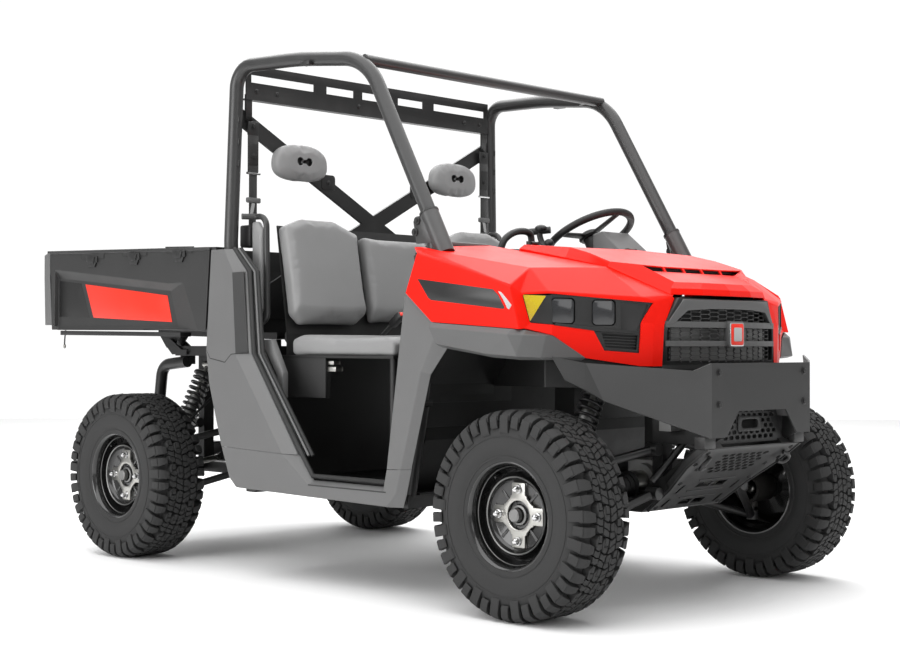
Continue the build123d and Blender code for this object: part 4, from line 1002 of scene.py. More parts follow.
@dataclass
class FrontBody:
    """The red front body: two fenders, the hood, lamps, grille and their trim."""

    hinge: Point2 = (315.0, 1166.0)
    vents: tuple[Point2, ...] = ((-45, 45), (56, 150), (161, 250))

    def fender(self) -> Shape:
        """The left fender, a skin of facets."""
        points: dict[str, Point3] = {
            "a0": (348, 440, 1160), "a1": (348, 310, 1138), "a2": (379, -85, 1069), "a3": (268, -247, 980),
            "b0": (727, 386, 1131.5),
            "k": (612, 26, 1063), "t": (640, -72, 987), "m": (378, -227, 972), "c0": (742, 386, 1111),
            "c1": (737, -5, 1005),
            "d0": (742, 436, 991), "d1": (742, 319, 898), "d2": (736.5, -42, 874), "e0": (697, -13, 982),
            "e1": (704, -38, 876),
            "l0": (694, -16, 978), "l1": (633, -76, 981), "l2": (346, -244, 960), "l3": (382, -223, 894),
            "l4": (387, -220, 802),
            "l5": (485, -162.7, 810), "l6": (515, -145, 871), "l7": (626, -80, 887), "l8": (678, -33, 893),
            "w1": (626, -80, 856), "w2": (538, -131, 788), "w3": (386, -220.6, 763), "r0": (298, -247, 966),
            "r1": (346, -244, 889),
            "r2": (346, -241, 786), "r3": (344, -240, 762), "g0": (250, -252, 974), "g1": (304, -252, 889),
            "g2": (312, -250, 762),
        }
        faces = [
            "a0 a1 b0", "a1 k b0", "a1 a2 k", "b0 c1 c0", "b0 k c1", "k e0 c1", "c0 c1 d2 d1 d0",
            "c1 e0 e1 d2", "k t e0", "a2 m t k",
            "a2 a3 m", "m a3 r0 l2", "a3 g0 r0", "e0 l0 l8 e1", "e0 t l1 l0", "t m l2 l1", "e1 l8 l7 w1",
            "w1 l7 l6 w2", "l6 l5 w2",
            "w2 l5 l4 w3", "l2 r0 r1 l3", "l3 r1 r2 l4", "l4 r2 r3 w3", "r0 g0 g1 r1", "r1 g1 g2 r3 r2",
        ]
        made = Shape().shell(points, faces, 4.5, (560, 100, 950), 4.5)
        lip: dict[str, Point3] = {}
        for number in range(4):
            x, d, z = points[f"a{number}"]
            lip[f"t{number}"] = (x + 0.6, d, z - 2)
            lip[f"u{number}"] = (x + 0.6, d + 3, z - 24)
        made.shell(lip, [f"t{n} t{n + 1} u{n + 1} u{n}" for n in range(3)], 3.0, (600, 100, 900), 0, 0)
        return made

    def make_fenders(self) -> Piece:
        """Both fenders, notched round the cage legs."""
        made = self.fender()
        made.cut(Shape().box((LEG - 33, LEG + 33), (330, 470), (1080, 1200), 8), 1)
        return made.mirrored().build(
            "front_fender_skins", [RED_SKIN, BLACK_PANEL], "body_red", ["front_fenders"], 40, True
        )

    def make_hood(self) -> Piece:
        """The hood with its row of vents."""
        points: dict[str, Point3] = {
            "p0": (0, 310, 1163), "p1": (317.6, 310, 1159.2), "p2": (342, 310, 1145.5), "m0": (0, 100, 1147),
            "m1": (332, 100, 1141),
            "q1": (357, 100, 1107), "n0": (0, 10, 1127), "n1": (347, 10, 1119), "q2": (364, 10, 1090),
            "k1": (362, -87, 1087),
            "k2": (373, -85, 1072), "v": (280, -141, 1079), "e0": (0, -264, 1023), "e1": (114, -255, 1023.5),
            "e2": (218, -227, 1024),
            "f0": (0, -284, 1002), "f1": (132, -273, 1002.5), "f2": (256, -242, 1003), "g0": (0, -288, 983),
            "g1": (135, -277, 983.5),
            "g2": (263, -246, 984), "r2": (342, 310, 1120), "r1": (370, -83, 1050), "r0": (262, -243, 966),
        }
        rail = (0, 45, 56, 150, 161, 228)
        points.update({f"t{n}": (x, -136 + x * x * -0.00006, 1077) for n, x in enumerate(rail[:5])})
        points.update({f"b{n}": (x, -148, 1060) for n, x in enumerate(rail)})
        faces = [
            "p0 p1 m1 m0", "m0 m1 n1 n0", "n0 n1 v t4 t3 t2 t1 t0", "n1 k1 v", "p1 p2 q1 m1", "m1 q1 q2 n1",
            "n1 q2 k2 k1",
            "k1 k2 g2 f2 e2", "k1 e2 v", "v e2 b5", "b0 b1 b2 b3 b4 b5 e2 e1 e0", "e0 e1 f1 f0",
            "e1 e2 f2 f1", "f0 f1 g1 g0",
            "f1 f2 g2 g1", "p2 r2 r1 k2", "k2 r1 r0 g2", "t1 t2 b2 b1", "t3 t4 b4 b3",
        ]
        half = Shape().shell(points, faces, 4.5, (100, 100, 900), 4.0)
        made = Shape().join(half)
        made.join(half, Matrix.Diagonal((-1, 1, 1, 1)))
        bmesh.ops.remove_doubles(made.bm, verts=made.bm.verts, dist=0.05)
        seam = [f for f in made.bm.faces if all(abs(v.co.x) < 0.02 for v in f.verts)]
        bmesh.ops.delete(made.bm, geom=seam, context="FACES_ONLY")
        made.front_prism([(-262, 1046), (-262, 1080), (262, 1080), (262, 1046)], -112, 6, 0, 1)
        for low, high in self.vents:
            for x_sign in SIDES if low > 0 else (1,):
                first, last = sorted((x_sign * low, x_sign * high))
                made.box((first, last), (-128, -122), (1067, 1069), skin=1)
        for x_sign in SIDES:
            first, last = sorted((x_sign * 250, x_sign * 280))
            made.rod(
                (first, fy(self.hinge[0]), self.hinge[1]), (last, fy(self.hinge[0]), self.hinge[1]), 6, skin=1
            )
            made.box((first, last), (285, 315), (1148, 1156), skin=1)
        return made.build("hood_skin", [RED_SKIN, BLACK_PANEL], "body_red", ["hood"], 40, True, "hood")

    def make_side_films(self) -> Piece:
        """The dark flash along each fender and its light stripe."""
        made = Shape()
        flash = from_front([(382, 1034), (62, 994), (40, 976), (15, 938), (20, 934), (322, 966), (335, 974)])
        stripe = from_front([(41, 988), (29, 985), (8, 966), (-13, 945), (-3, 932), (4, 936), (20, 962)])
        flank = plane((742 - 0.0128 * fy(386), 0, 0), (0.0128, 1, 0), (0, 0, 1))
        made.prism(flash, flank @ lift(-0.4), 1.2, 0.3)
        made.prism(stripe, flank @ lift(-0.4), 1.4, 0.3, 1)
        made.mirrored()
        return made.build("fender_films", [BLACK_FILM, SILVER_FILM], "body_red")

    def lamp(self) -> Shape:
        """The left lamp: dark bezel, two square lenses, amber corner and the lower pocket."""
        made = Shape()
        outline = on_corner([
            (631, 980), (347, 960), (382, 894), (387, 802.6), (485, 810.6), (515, 871.6), (626, 887.6),
        ])
        bezel = Shape().prism(outline, corner_plane(-26), 22)
        squares = ((598, 929), (485, 925))
        for middle in squares:
            bezel.cut(Shape().prism(rounded_box(on_corner([middle])[0], 39, 40, 14), corner_plane(-24), 40))
        bezel.cut(Shape().prism(
            on_corner([(490, 862), (390, 856), (394, 812), (480, 820)]), corner_plane(-18), 40,
        ))
        bezel.cut(Shape().prism(
            on_corner([(437, 957), (437, 872), (392, 870), (360, 950)]), corner_plane(-9), 20,
        ))
        made.join(bezel.soften(1.6, 2, 30))
        turned = plane((640, fy(-72), 0), (57, 59, 0), (0, 0, 1)) @ lift(-9)
        made.prism([(4, 976), (78, 979), (56, 894), (-14, 888), (-10, 976)], turned, 5, 1, 0)
        made.prism([(6, 974), (75, 977), (54, 897)], turned @ lift(3), 4.6, 0.8, 1)
        for x, z in squares:
            u = on_corner([(x, z)])[0]
            made.prism(rounded_box(u, 38, 40, 15), corner_plane(-27), 5, 0, 2)
            bowl = corner_plane(-22) @ plane((u[0], u[1], 0), (0, 0, 1), (1, 0, 0))
            made.turned([(0, 0), (1, 12), (6, 24), (12, 30), (13, 33), (3, 33)], bowl, 32, 2, False)
            made.prism(rounded_box(u, 36, 37, 13), corner_plane(-11), 5, 1.8, 3)
            for rib in range(-3, 4):
                made.block_at(
                    corner_plane(-14), (u[0] + rib * 9 - 1.2, u[0] + rib * 9 + 1.2), (u[1] - 33, u[1] + 33),
                    3, 2,
                )
        for z in (822, 831, 840, 849):
            made.prism(
                on_corner([(486, z + 3), (392, z - 2), (392, z + 1.4), (486, z + 6.4)]), corner_plane(-16), 9,
                0.6,
            )
        bar = on_corner([(624, 886), (515, 870), (488, 867), (390, 861), (389, 869), (488, 877), (620, 893)])
        made.prism(bar, corner_plane(-6), 7.5, 1.2)
        return made

    def make_lamps(self) -> Piece:
        """Both lamps."""
        return self.lamp().mirrored().build(
            "headlamps", [BLACK_PANEL, AMBER, BOWL, LENS], "lamp", ["headlights"], 30
        )

    def cell(self, made: Shape, x: float, z: float, half: float) -> None:
        """Adds the walls of one flat hexagon of the grille, cut off at the opening's edge."""
        deep = front_plane(fy(-284))
        if abs(x) < half - 8:
            x0, x1 = max(-half, x - 18), min(half, x + 18)
            made.prism([(x0, z - 1), (x1, z - 1), (x1, z + 1), (x0, z + 1)], deep, 7, 0.4, 5)
        for s in SIDES:
            if abs(x + s * 25) < half:
                rise = [
                    (x + s * 17.6, z - 0.9), (x + s * 24.6, z + 5.9), (x + s * 24.6, z + 7.7),
                    (x + s * 17.6, z + 0.9),
                ]
                made.prism(rise, deep, 5, 0, 5)
                made.prism([(u, 2 * z - v) for u, v in rise], deep, 5, 0, 5)

    def make_grille(self) -> Piece:
        """The grille, built flat and bowed: hexagon mesh, bars, the top trim and a bare badge."""
        made = Shape()
        # Painted shade: a near-black sheet right behind the hexagon walls stands in for the dark space seen
        # through the grille's openings.
        made.box((-296, 296), (-276, -272), (764, 962), 0, 6)
        edge = [
            (-248, 974), (248, 974), (303, 888), (311, 868), (311, 764), (-311, 764), (-311, 868), (-303, 888)
        ]
        inner = [
            (-222, 956), (222, 956), (288, 882), (292, 866), (292, 778), (-292, 778), (-292, 866), (-288, 882)
        ]
        surround = Shape().front_prism(edge, -278, 20)
        surround.cut(Shape().front_prism(inner, -250, 90)).soften(2.5, 2)
        made.join(surround)
        cell_w, rise = 84.0, 6.8
        for row in range(26):
            z = 781 + row * rise
            half = 291 if z < 880 else 288 - (z - 880) * 0.86
            for column in range(-6, 7):
                self.cell(made, column * cell_w + (cell_w / 2 if row % 2 else 0.0), z, half)
        for z, tall in ((891, 9.5), (832, 8.5)):
            for x0 in range(-300, 300, 50):
                bar = [(x0, z - tall), (x0 + 50.2, z - tall), (x0 + 50.2, z + tall), (x0, z + tall)]
                made.front_prism(bar, -286, 15, 0, 1)
        top = [
            (-232, 969), (-116, 969), (0, 969), (116, 969), (232, 969), (296, 892), (272, 892), (216, 934),
            (116, 940), (0, 941),
        ]
        top += [(-116, 940), (-216, 934), (-272, 892), (-296, 892)]
        made.front_prism(top, -284, 18, 2.0, 1)
        badge = ((42, -290, 22, 1), (38, -311, 3, 2), (34, -313, 2.4, 3), (22, -315, 2.4, 4))
        for number, (half, start, thick, skin) in enumerate(badge):
            made.front_prism(rounded_box((0, 861), half, half, 10 - number * 1.5), start, thick, 1.0, skin)
        made.box((-311, 311), (-298, -262), (742, 765), 2)
        for vert in made.bm.verts:
            if abs(vert.co.x) > 46 or vert.co.z < 800 or vert.co.z > 910:
                vert.co.y += 0.0005 * vert.co.x**2
        finishes = [BLACK_PANEL, FLARE_GREY, CHROME, RED_FILM, SILVER_FILM, BUMPER_COAT, LINER_AND_GRILLE_SHADE]
        return made.build("grille_mesh", finishes, "trim_black", ["grille"], 30)

    def make_liner(self) -> Piece:
        """Black inner panels behind the lamps, under the hood and above the front wheels."""
        made = Shape()
        made.box((250, 590), (428, 432), (640, 985), 1)
        made.box((250, 560), (-64, -60), (790, 990), 1)
        arch = [
            (-40, 838), (40, 855), (290, 880), (425, 700), (430, 640), (436, 640), (432, 706), (296, 888),
            (40, 863), (-46, 846),
        ]
        made.side_prism(arch, 340, 318, 1)
        made.side_prism([(-150, 770), (-40, 835), (-40, 842), (-156, 777)], 300, 180, 1)
        made.box((336, 340), (-150, 430), (690, 1000), 1)
        splash = [(352, fy(-222)), (640, fy(-62)), (640, fy(-58)), (352, fy(-218))]
        made.prism(splash, lift(700), 150)
        made.box((0, 640), (448, 454), (560, 1000), 1)
        made.box((0, 590), (-60, 448), (940, 944))
        made.box((0, 330), (-215, -60), (940, 944))
        made.box((0, 240), (-262, -215), (940, 974))
        return made.mirrored().build("wheel_arch_liners", [LINER_AND_GRILLE_SHADE], "trim_black")

    def build(self) -> list[Piece]:
        """All pieces of the front body."""
        made = [self.make_fenders(), self.make_hood(), self.make_side_films(), self.make_lamps()]
        return made + [self.make_grille(), self.make_liner()]


@dataclass
class NoseArmour:
    """The folded steel bumper, the fairlead mesh behind it and the perforated skid plate."""

    bolts: tuple[Point2, ...] = ((239, 646), (239, 744))
    slope_top: Point2 = (-378, 513)
    slope_end: Point2 = (-100, 300)

    def make_bumper(self) -> Piece:
        """The bumper with its bolts, and painted shade: its front face and the folded ends of its wings are
        darker.
        """
        made = Shape().node("bumper")
        for x_sign in SIDES:
            made.slice((x_sign * 693, fy(-133), 791), (x_sign * 0.636, 0.591, -0.496))
        made.soften(1.6, 2)
        # Painted shade: faces turned straight forward take the darker coat (material 2).
        for face in made.bm.faces:
            if face.normal.y < -0.95:
                face.material_index = 2
        for x, z in self.bolts:
            for x_sign in SIDES:
                seat = facing_front(x_sign * x, fy(-409.2), z)
                made.join(bolt(seat, 9, 6, 1))
        # Painted shade: beyond each fold, the wing's faces that don't face upwards take the darker coat as
        # well.
        for x_sign in SIDES:
            fold, behind = (x_sign * 621, fy(-199), 779), (x_sign * 0.765, 0.466, -0.446)
            everything = made.bm.verts[:] + made.bm.edges[:] + made.bm.faces[:]
            bmesh.ops.bisect_plane(made.bm, geom=everything, plane_co=fold, plane_no=behind)
            for face in made.bm.faces:
                reach = (face.calc_center_median() - Vector(fold)).dot(Vector(behind))
                if reach > 0 and face.calc_center_median().x * x_sign > 0 and face.normal.z < 0.5:
                    face.material_index = 2
        return made.build(
            "bumper_folded", [BUMPER_COAT, FRAME_COAT, PLATE_COAT_AND_BUMPER_SHADE], "bumper_grey", ["bumper"], 30, True
        )

    def on_slope(self) -> Matrix:
        """The skid plate's plane, with its second axis down the slope and its third facing the ground."""
        (d0, z0), (d1, z1) = self.slope_top, self.slope_end
        return plane((0, fy(d0), z0), (-1, 0, 0), (0, d1 - d0, z1 - z0))

    def make_skid(self) -> Piece:
        """The skid plate with its field of slots, side flanges, ribs and bolts."""
        slope = self.on_slope()
        edge = [(262, 0), (262, 96), (214, 222), (198, 346)]
        outline = edge + mirror_x(edge)
        made = Shape().prism(outline, slope, 4.5)
        holes = Shape()
        sunk, pitch_u, pitch_v = slope @ lift(-6), 38, 17.5
        for row in range(6):
            for column in range(-3, 4):
                u = (column + (0.5 if row % 2 else 0)) * pitch_u
                if abs(u) > 128:
                    continue
                cell = [(u - 15, 44), (u - 10, 37), (u + 10, 37), (u + 15, 44), (u + 10, 51), (u - 10, 51)]
                holes.prism([(a, b + row * pitch_v) for a, b in cell], sunk, 20)
        for low, high, half in ((196, 224, 78), (296, 326, 66)):
            for first, last in ((-half, -6), (6, half)):
                holes.block_at(sunk, (first, last), (low, high), 20)
        for x_sign in SIDES:
            for v in (205, 285):
                u = x_sign * (152 - (v - 205) * 0.1)
                holes.block_at(sunk, (u - 7, u + 7), (v, v + 46), 20)
        made.cut(holes)
        made.soften(0.8, 1, 40)
        for low, high in ((176, 182), (240, 246), (276, 282), (336, 342)):
            made.block_at(slope @ lift(2), (-100, 100), (low, high), 5, 0, 1.0)
        for x_sign in SIDES:
            lip = [(262, 0), (262, 96), (214, 222), (198, 346), (193, 346), (209, 221), (257, 95), (257, 0)]
            lip = lip if x_sign > 0 else mirror_x(lip)
            made.prism(lip, slope @ lift(-18), 20, 1.0)
            made.prism(lip, slope @ lift(4), 5, 0.8)
            for u, v in ((232, 20), (232, 80), (190, 190), (170, 330), (190, 110)):
                seat = slope @ Matrix.Translation((x_sign * u, v, 4.5)) @ plane(
                    (0, 0, 0), (0, 0, 1), (1, 0, 0)
                )
                made.join(bolt(seat, 7, 4, 1))
            made.box((x_sign * 250 - 28, x_sign * 250 + 28), (-386, -345), (512, 549), 3)
        made.block((-215, 215), (fy(-100), ry(360)), (296.2, 299.6))
        return made.build("skid_plate_pierced", [PLATE_COAT_AND_BUMPER_SHADE, FRAME_COAT], "frame_black", ["skid_plate"], 30)

    def make_fairlead(self) -> Piece:
        """The pierced plate with a slotted opening, recessed behind the bumper."""
        made = Shape().front_prism([(-196, 520), (196, 520), (150, 634), (-150, 634)], -352, 5)
        holes, pitch_u, pitch_v = Shape(), 32, 17
        for row in range(6):
            for column in range(-5, 6):
                u, v = (column + (0.5 if row % 2 else 0)) * pitch_u, 538 + row * pitch_v
                if abs(u) > 158 - (v - 520) * 0.3 or (abs(u) < 74 and 556 < v < 604):
                    continue
                cell = [
                    (u - 12, v), (u - 8, v - 6), (u + 8, v - 6), (u + 12, v), (u + 8, v + 6), (u - 8, v + 6)
                ]
                holes.front_prism(cell, -340, 30)
        holes.front_prism(rounded_box((0, 580), 46, 14, 12), -340, 30)
        made.cut(holes).soften(0.8, 1, 40)
        ring = Shape().front_prism(rounded_box((0, 580), 66, 24, 10), -356, 5)
        ring.cut(Shape().front_prism(rounded_box((0, 580), 46, 14, 12), -340, 40)).soften(1.2, 2)
        made.join(ring)
        made.front_prism([(-190, 505), (190, 505), (140, 690), (-140, 690)], -300, 3)
        for x_sign in SIDES:
            side_bar = [(fy(-404), 545), (fy(-350), 520), (fy(-350), 640), (fy(-398), 640)]
            made.prism(side_bar, side_plane(x_sign * 205 - 3), 6, 1)
        return made.build("fairlead_mesh", [BLACK_PANEL], "frame_black", (), 30)

    def build(self) -> list[Piece]:
        """All pieces."""
        return [self.make_bumper(), self.make_skid(), self.make_fairlead()]


@dataclass
class SidePanels:
    """The grey panels round the cab opening, the wheel-arch flares and their trim."""

    wall: float = 4.0
    crease: float = 3.5

    def slab(self, points: dict[str, Point3], faces: Sequence[str], inside: Point3) -> Shape:
        """One faceted panel."""
        return Shape().shell(points, faces, self.wall, inside, self.crease)

    def pillar(self) -> Shape:
        """The left front panel: a flat face with a broad chamfer towards the wheel."""
        points: dict[str, Point3] = {
            "p0": (723, 543, 426), "p1": (723, 462, 978), "p2": (723, 440, 988), "p3": (723, 352, 952),
            "p4": (723, 319, 862),
            "p5": (723, 388, 741), "p6": (723, 478, 428), "q3": (704, 322, 898), "q4": (704, 284, 820),
            "q5": (704, 361, 732),
            "q6": (704, 447, 429), "r0": (692, 545, 426), "r1": (692, 466, 980), "s3": (690, 350, 952),
        }
        faces = [
            "p0 p1 p2 p3 p4 p5 p6", "p3 q3 q4 p4", "p4 q4 q5 p5", "p5 q5 q6 p6", "p0 r0 r1 p1", "p3 s3 q3"
        ]
        return self.slab(points, faces, (560, 430, 700))

    def quarter(self) -> Shape:
        """The left rear panel with the chamfer along the door opening."""
        points: dict[str, Point3] = {
            "a0": (723, 1474, 1170), "a1": (723, 1399, 1170), "a2": (723, 1346, 1086), "a3": (723, 1326, 783),
            "a4": (723, 1070, 449),
            "a5": (723, 1410, 460), "a6": (723, 1483, 683), "a7": (723, 1502, 803),
            "b1": (706, 1360, 1170), "b2": (706, 1290, 1090), "b3": (706, 1262, 796), "b4": (706, 1004, 449),
            "c1": (676, 1354, 1170), "c2": (676, 1282, 1088), "c3": (676, 1254, 794), "c4": (676, 998, 449),
        }
        faces = [
            "a0 a1 a2 a3 a4 a5 a6 a7", "a1 b1 b2 a2", "a2 b2 b3 a3", "a3 b3 b4 a4", "b1 c1 c2 b2",
            "b2 c2 c3 b3", "b3 c3 c4 b4",
        ]
        made = self.slab(points, faces, (560, 1400, 800))
        band = [(1344, 1084), (1294, 1086), (1272, 794), (1328, 792)]
        lift = [(708.5 + (d - 1272) * 0.24, d, z) for d, z in band]
        strip = {f"s{n}": (x + 2.2, d, z) for n, (x, d, z) in enumerate(lift)}
        made.shell(strip, ["s0 s1 s2 s3"], 2.0, (600, 1300, 900), 0, 1)
        seam = [(1499, 803), (1480, 775), (1392, 761), (1356, 790), (1262, 797)]
        for (d0, z0), (d1, z1) in zip(seam, seam[1:]):
            made.prism(
                [(fy(d0), z0), (fy(d1), z1), (fy(d1), z1 + 3), (fy(d0), z0 + 3)], side_plane(722.4), 1.0, 0, 1
            )
        return made

    def rocker(self) -> Shape:
        """The left sill with a broad chamfer below the door opening."""
        points: dict[str, Point3] = {
            "a0": (723, 543, 424), "a1": (723, 478, 427), "a2": (723, 500, 348), "a3": (723, 540, 304),
            "a4": (723, 1322, 317),
            "a5": (723, 1362, 350), "a6": (723, 1408, 459), "a7": (723, 1068, 448), "a8": (723, 930, 352),
            "a9": (723, 560, 352),
            "b0": (704, 446, 428), "b2": (704, 468, 346), "b3": (704, 484, 304), "c0": (700, 545, 424),
            "c9": (700, 566, 366),
            "c8": (700, 924, 366), "c7": (700, 1002, 447), "d3": (690, 540, 302), "d4": (690, 1322, 315),
        }
        faces = [
            "a0 a1 a2 a3 a4 a5 a6 a7 a8 a9", "a1 b0 b2 a2", "a2 b2 b3 a3", "a0 a9 c9 c0", "a9 a8 c8 c9",
            "a8 a7 c7 c8", "a3 d3 d4 a4",
        ]
        made = self.slab(points, faces, (560, 900, 330))
        made.prism(
            [(fy(545), 349), (fy(545), 353), (fy(930), 353), (fy(930), 349)], side_plane(722.6), 0.8, 0, 1
        )
        return made

    def seals(self) -> Shape:
        """The black seal along the left door opening and the bright edge strips beside it."""
        line = [
            (700, 1368, 1172), (700, 1276, 1086), (700, 1250, 795), (700, 985, 447), (700, 930, 380),
            (700, 560, 380),
        ]
        made = Shape().pipe(line, 9, 1, 8, False)
        made.pipe([(690, 1356, 1172), (690, 1262, 1084), (690, 1234, 795), (690, 965, 447)], 5, 0, 6, False)
        made.pipe([(684, 1350, 1172), (684, 1252, 1084), (684, 1222, 795), (684, 950, 447)], 7, 1, 8, False)
        front = [(696, 552, 426), (696, 474, 976), (690, 440, 1010), (690, 436, 1120)]
        made.pipe(front, 7, 1, 8, False)
        for vert in made.bm.verts:
            vert.co.y = fy(vert.co.y)
        bmesh.ops.recalc_face_normals(made.bm, faces=made.bm.faces)
        return made

    def inner_trim(self) -> Shape:
        """The left grey trim between the seat base and the door opening."""
        outline = [(1318, 845), (1214, 845), (1146, 727), (1146, 640), (1172, 615), (1180, 600), (1330, 770)]
        made = Shape().side_prism(outline, 630, 26, 5)
        groove = [(1298, 818), (1250, 818), (1176, 716), (1180, 655), (1190, 648), (1310, 790)]
        made.side_prism(groove, 656, 1.0, 0.4, 1)
        inner = [(1293, 813), (1253, 813), (1182, 714), (1186, 662), (1192, 656), (1304, 790)]
        made.side_prism(inner, 656, 5.0, 2.5)
        return made

    def flare(self) -> Shape:
        """The left wheel-arch flare, folded round the body's corner."""
        points: dict[str, Point3] = {
            "t0": (745, 319, 896), "t1": (742, -20, 874), "t2": (706, -42, 871), "t3": (630, -82, 855),
            "t4": (538, -134, 788),
            "m0": (757, 316, 880), "m1": (757, -10, 858), "m2": (728, -52, 857), "m3": (664, -86, 856),
            "l0": (757, 286, 830),
            "l1": (757, 70, 799), "l2": (749, -44, 792), "l3": (688, -88, 788), "k0": (730, 282, 818),
            "k1": (730, 70, 789), "k2": (722, -40, 782),
            "k3": (670, -76, 782), "k4": (548, -124, 780),
        }
        faces = [
            "t0 t1 m1 m0", "t1 t2 m2 m1", "t2 t3 m3 m2", "m0 m1 l1 l0", "m1 m2 l2", "m1 l2 l1", "m2 m3 l3 l2",
            "t3 t4 l3 m3", "l0 l1 k1 k0",
            "l1 l2 k2 k1", "l2 l3 k3 k2", "l3 t4 k4 k3",
        ]
        return Shape().shell(points, faces, 3.5, (640, 100, 830), 3.0)

    def build(self) -> list[Piece]:
        """All panels."""
        finishes = [GREY_PANEL, BLACK_PANEL]
        made = []
        panels = (("pillar", self.pillar(), "pillar_panels"), ("quarter", self.quarter(), "quarter_panels"))
        for name, shape, node in (*panels, ("rocker", self.rocker(), "rockers")):
            made.append(shape.mirrored().build(f"{name}_skins", finishes, "panel_grey", [node], 35, True))
        flares = self.flare().mirrored()
        made.append(flares.build("flare_skins", [FLARE_GREY], "panel_grey", ["arch_flares"], 35, True))
        made.append(self.seals().mirrored().build("door_seals", [GREY_PANEL, RUBBER], "trim_black"))
        made.append(self.inner_trim().mirrored().build("seat_side_trim", finishes, "panel_grey", (), 30))
        return made


@dataclass
class CageFittings:
    """Sleeves, collars, tabs and bolts on the roll cage, and the window beam's edges."""

    leg_low: Point3 = (653.4, 366, 1154)
    leg_mid: Point3 = (650.9, 422.3, 1251)

    def make_sleeves(self) -> Piece:
        """The grey sleeves at the feet of the front legs, with their clevis tabs and caps."""
        made = Shape()
        low, mid = self.leg_low, self.leg_mid
        run = Vector(mid) - Vector(low)
        for start, stop, radius, skin in ((-0.4, 1.0, 31.0, 0), (0.97, 1.03, 32.5, 1)):
            a, b = Vector(low) + run * start, Vector(low) + run * stop
            made.rod((a.x, fy(a.y), a.z), (b.x, fy(b.y), b.z), radius, 32, skin)
        tab = [(380, 1150), (452, 1150), (466, 1222), (452, 1238), (428, 1240)]
        made.side_prism(tab, 674, 6, 1.5)
        for d, z in ((446, 1224), (456, 1188)):
            made.turned(
                [(0, 0), (0, 13), (4, 13), (6, 11), (6, 6), (9, 6), (9, 0)],
                plane((680, fy(d), z), (1, 0, 0), (0, 1, 0)), 24, 1, False,
            )
        made.box((657, 685), (978, 1022), (1792, 1806), 2, 1)
        for z in (1480, 1560, 1640):
            made.block((676, 684), (ry(-690), ry(-676)), (z - 12, z + 12), 2, 1)
        return made.mirrored().build("cage_sleeves", [CAGE_COAT, FRAME_COAT], "cage_black", (), 30)

    def make_brace(self) -> Piece:
        """The window beam and crossed straps with rounded edges, lightening slots and bolts."""
        made = Shape().node("cage_brace").soften(1.2, 2)
        for x_sign in SIDES:
            for x in (595, 500, 90):
                made.join(bolt(facing_front(x_sign * x, ry(-682), 1752), 7, 5))
            made.prism(rounded_box((x_sign * 236, 1446), 34, 30, 14), front_plane(ry(-664)), 6, 1)
            made.join(bolt(facing_front(x_sign * 236, ry(-670), 1446), 7, 5))
            for x in (300, 420):
                made.join(bolt(facing_front(x_sign * x, ry(-669), 1300 + x * 0.541), 6, 4))
        made.block((-570, 570), (ry(-680), ry(-674)), (1732, 1740), 1)
        return made.build("cage_brace_dressed", [FRAME_COAT], "cage_black", ["cage_brace"], 30)

    def build(self) -> list[Piece]:
        """All pieces."""
        return [self.make_sleeves(), self.make_brace()]


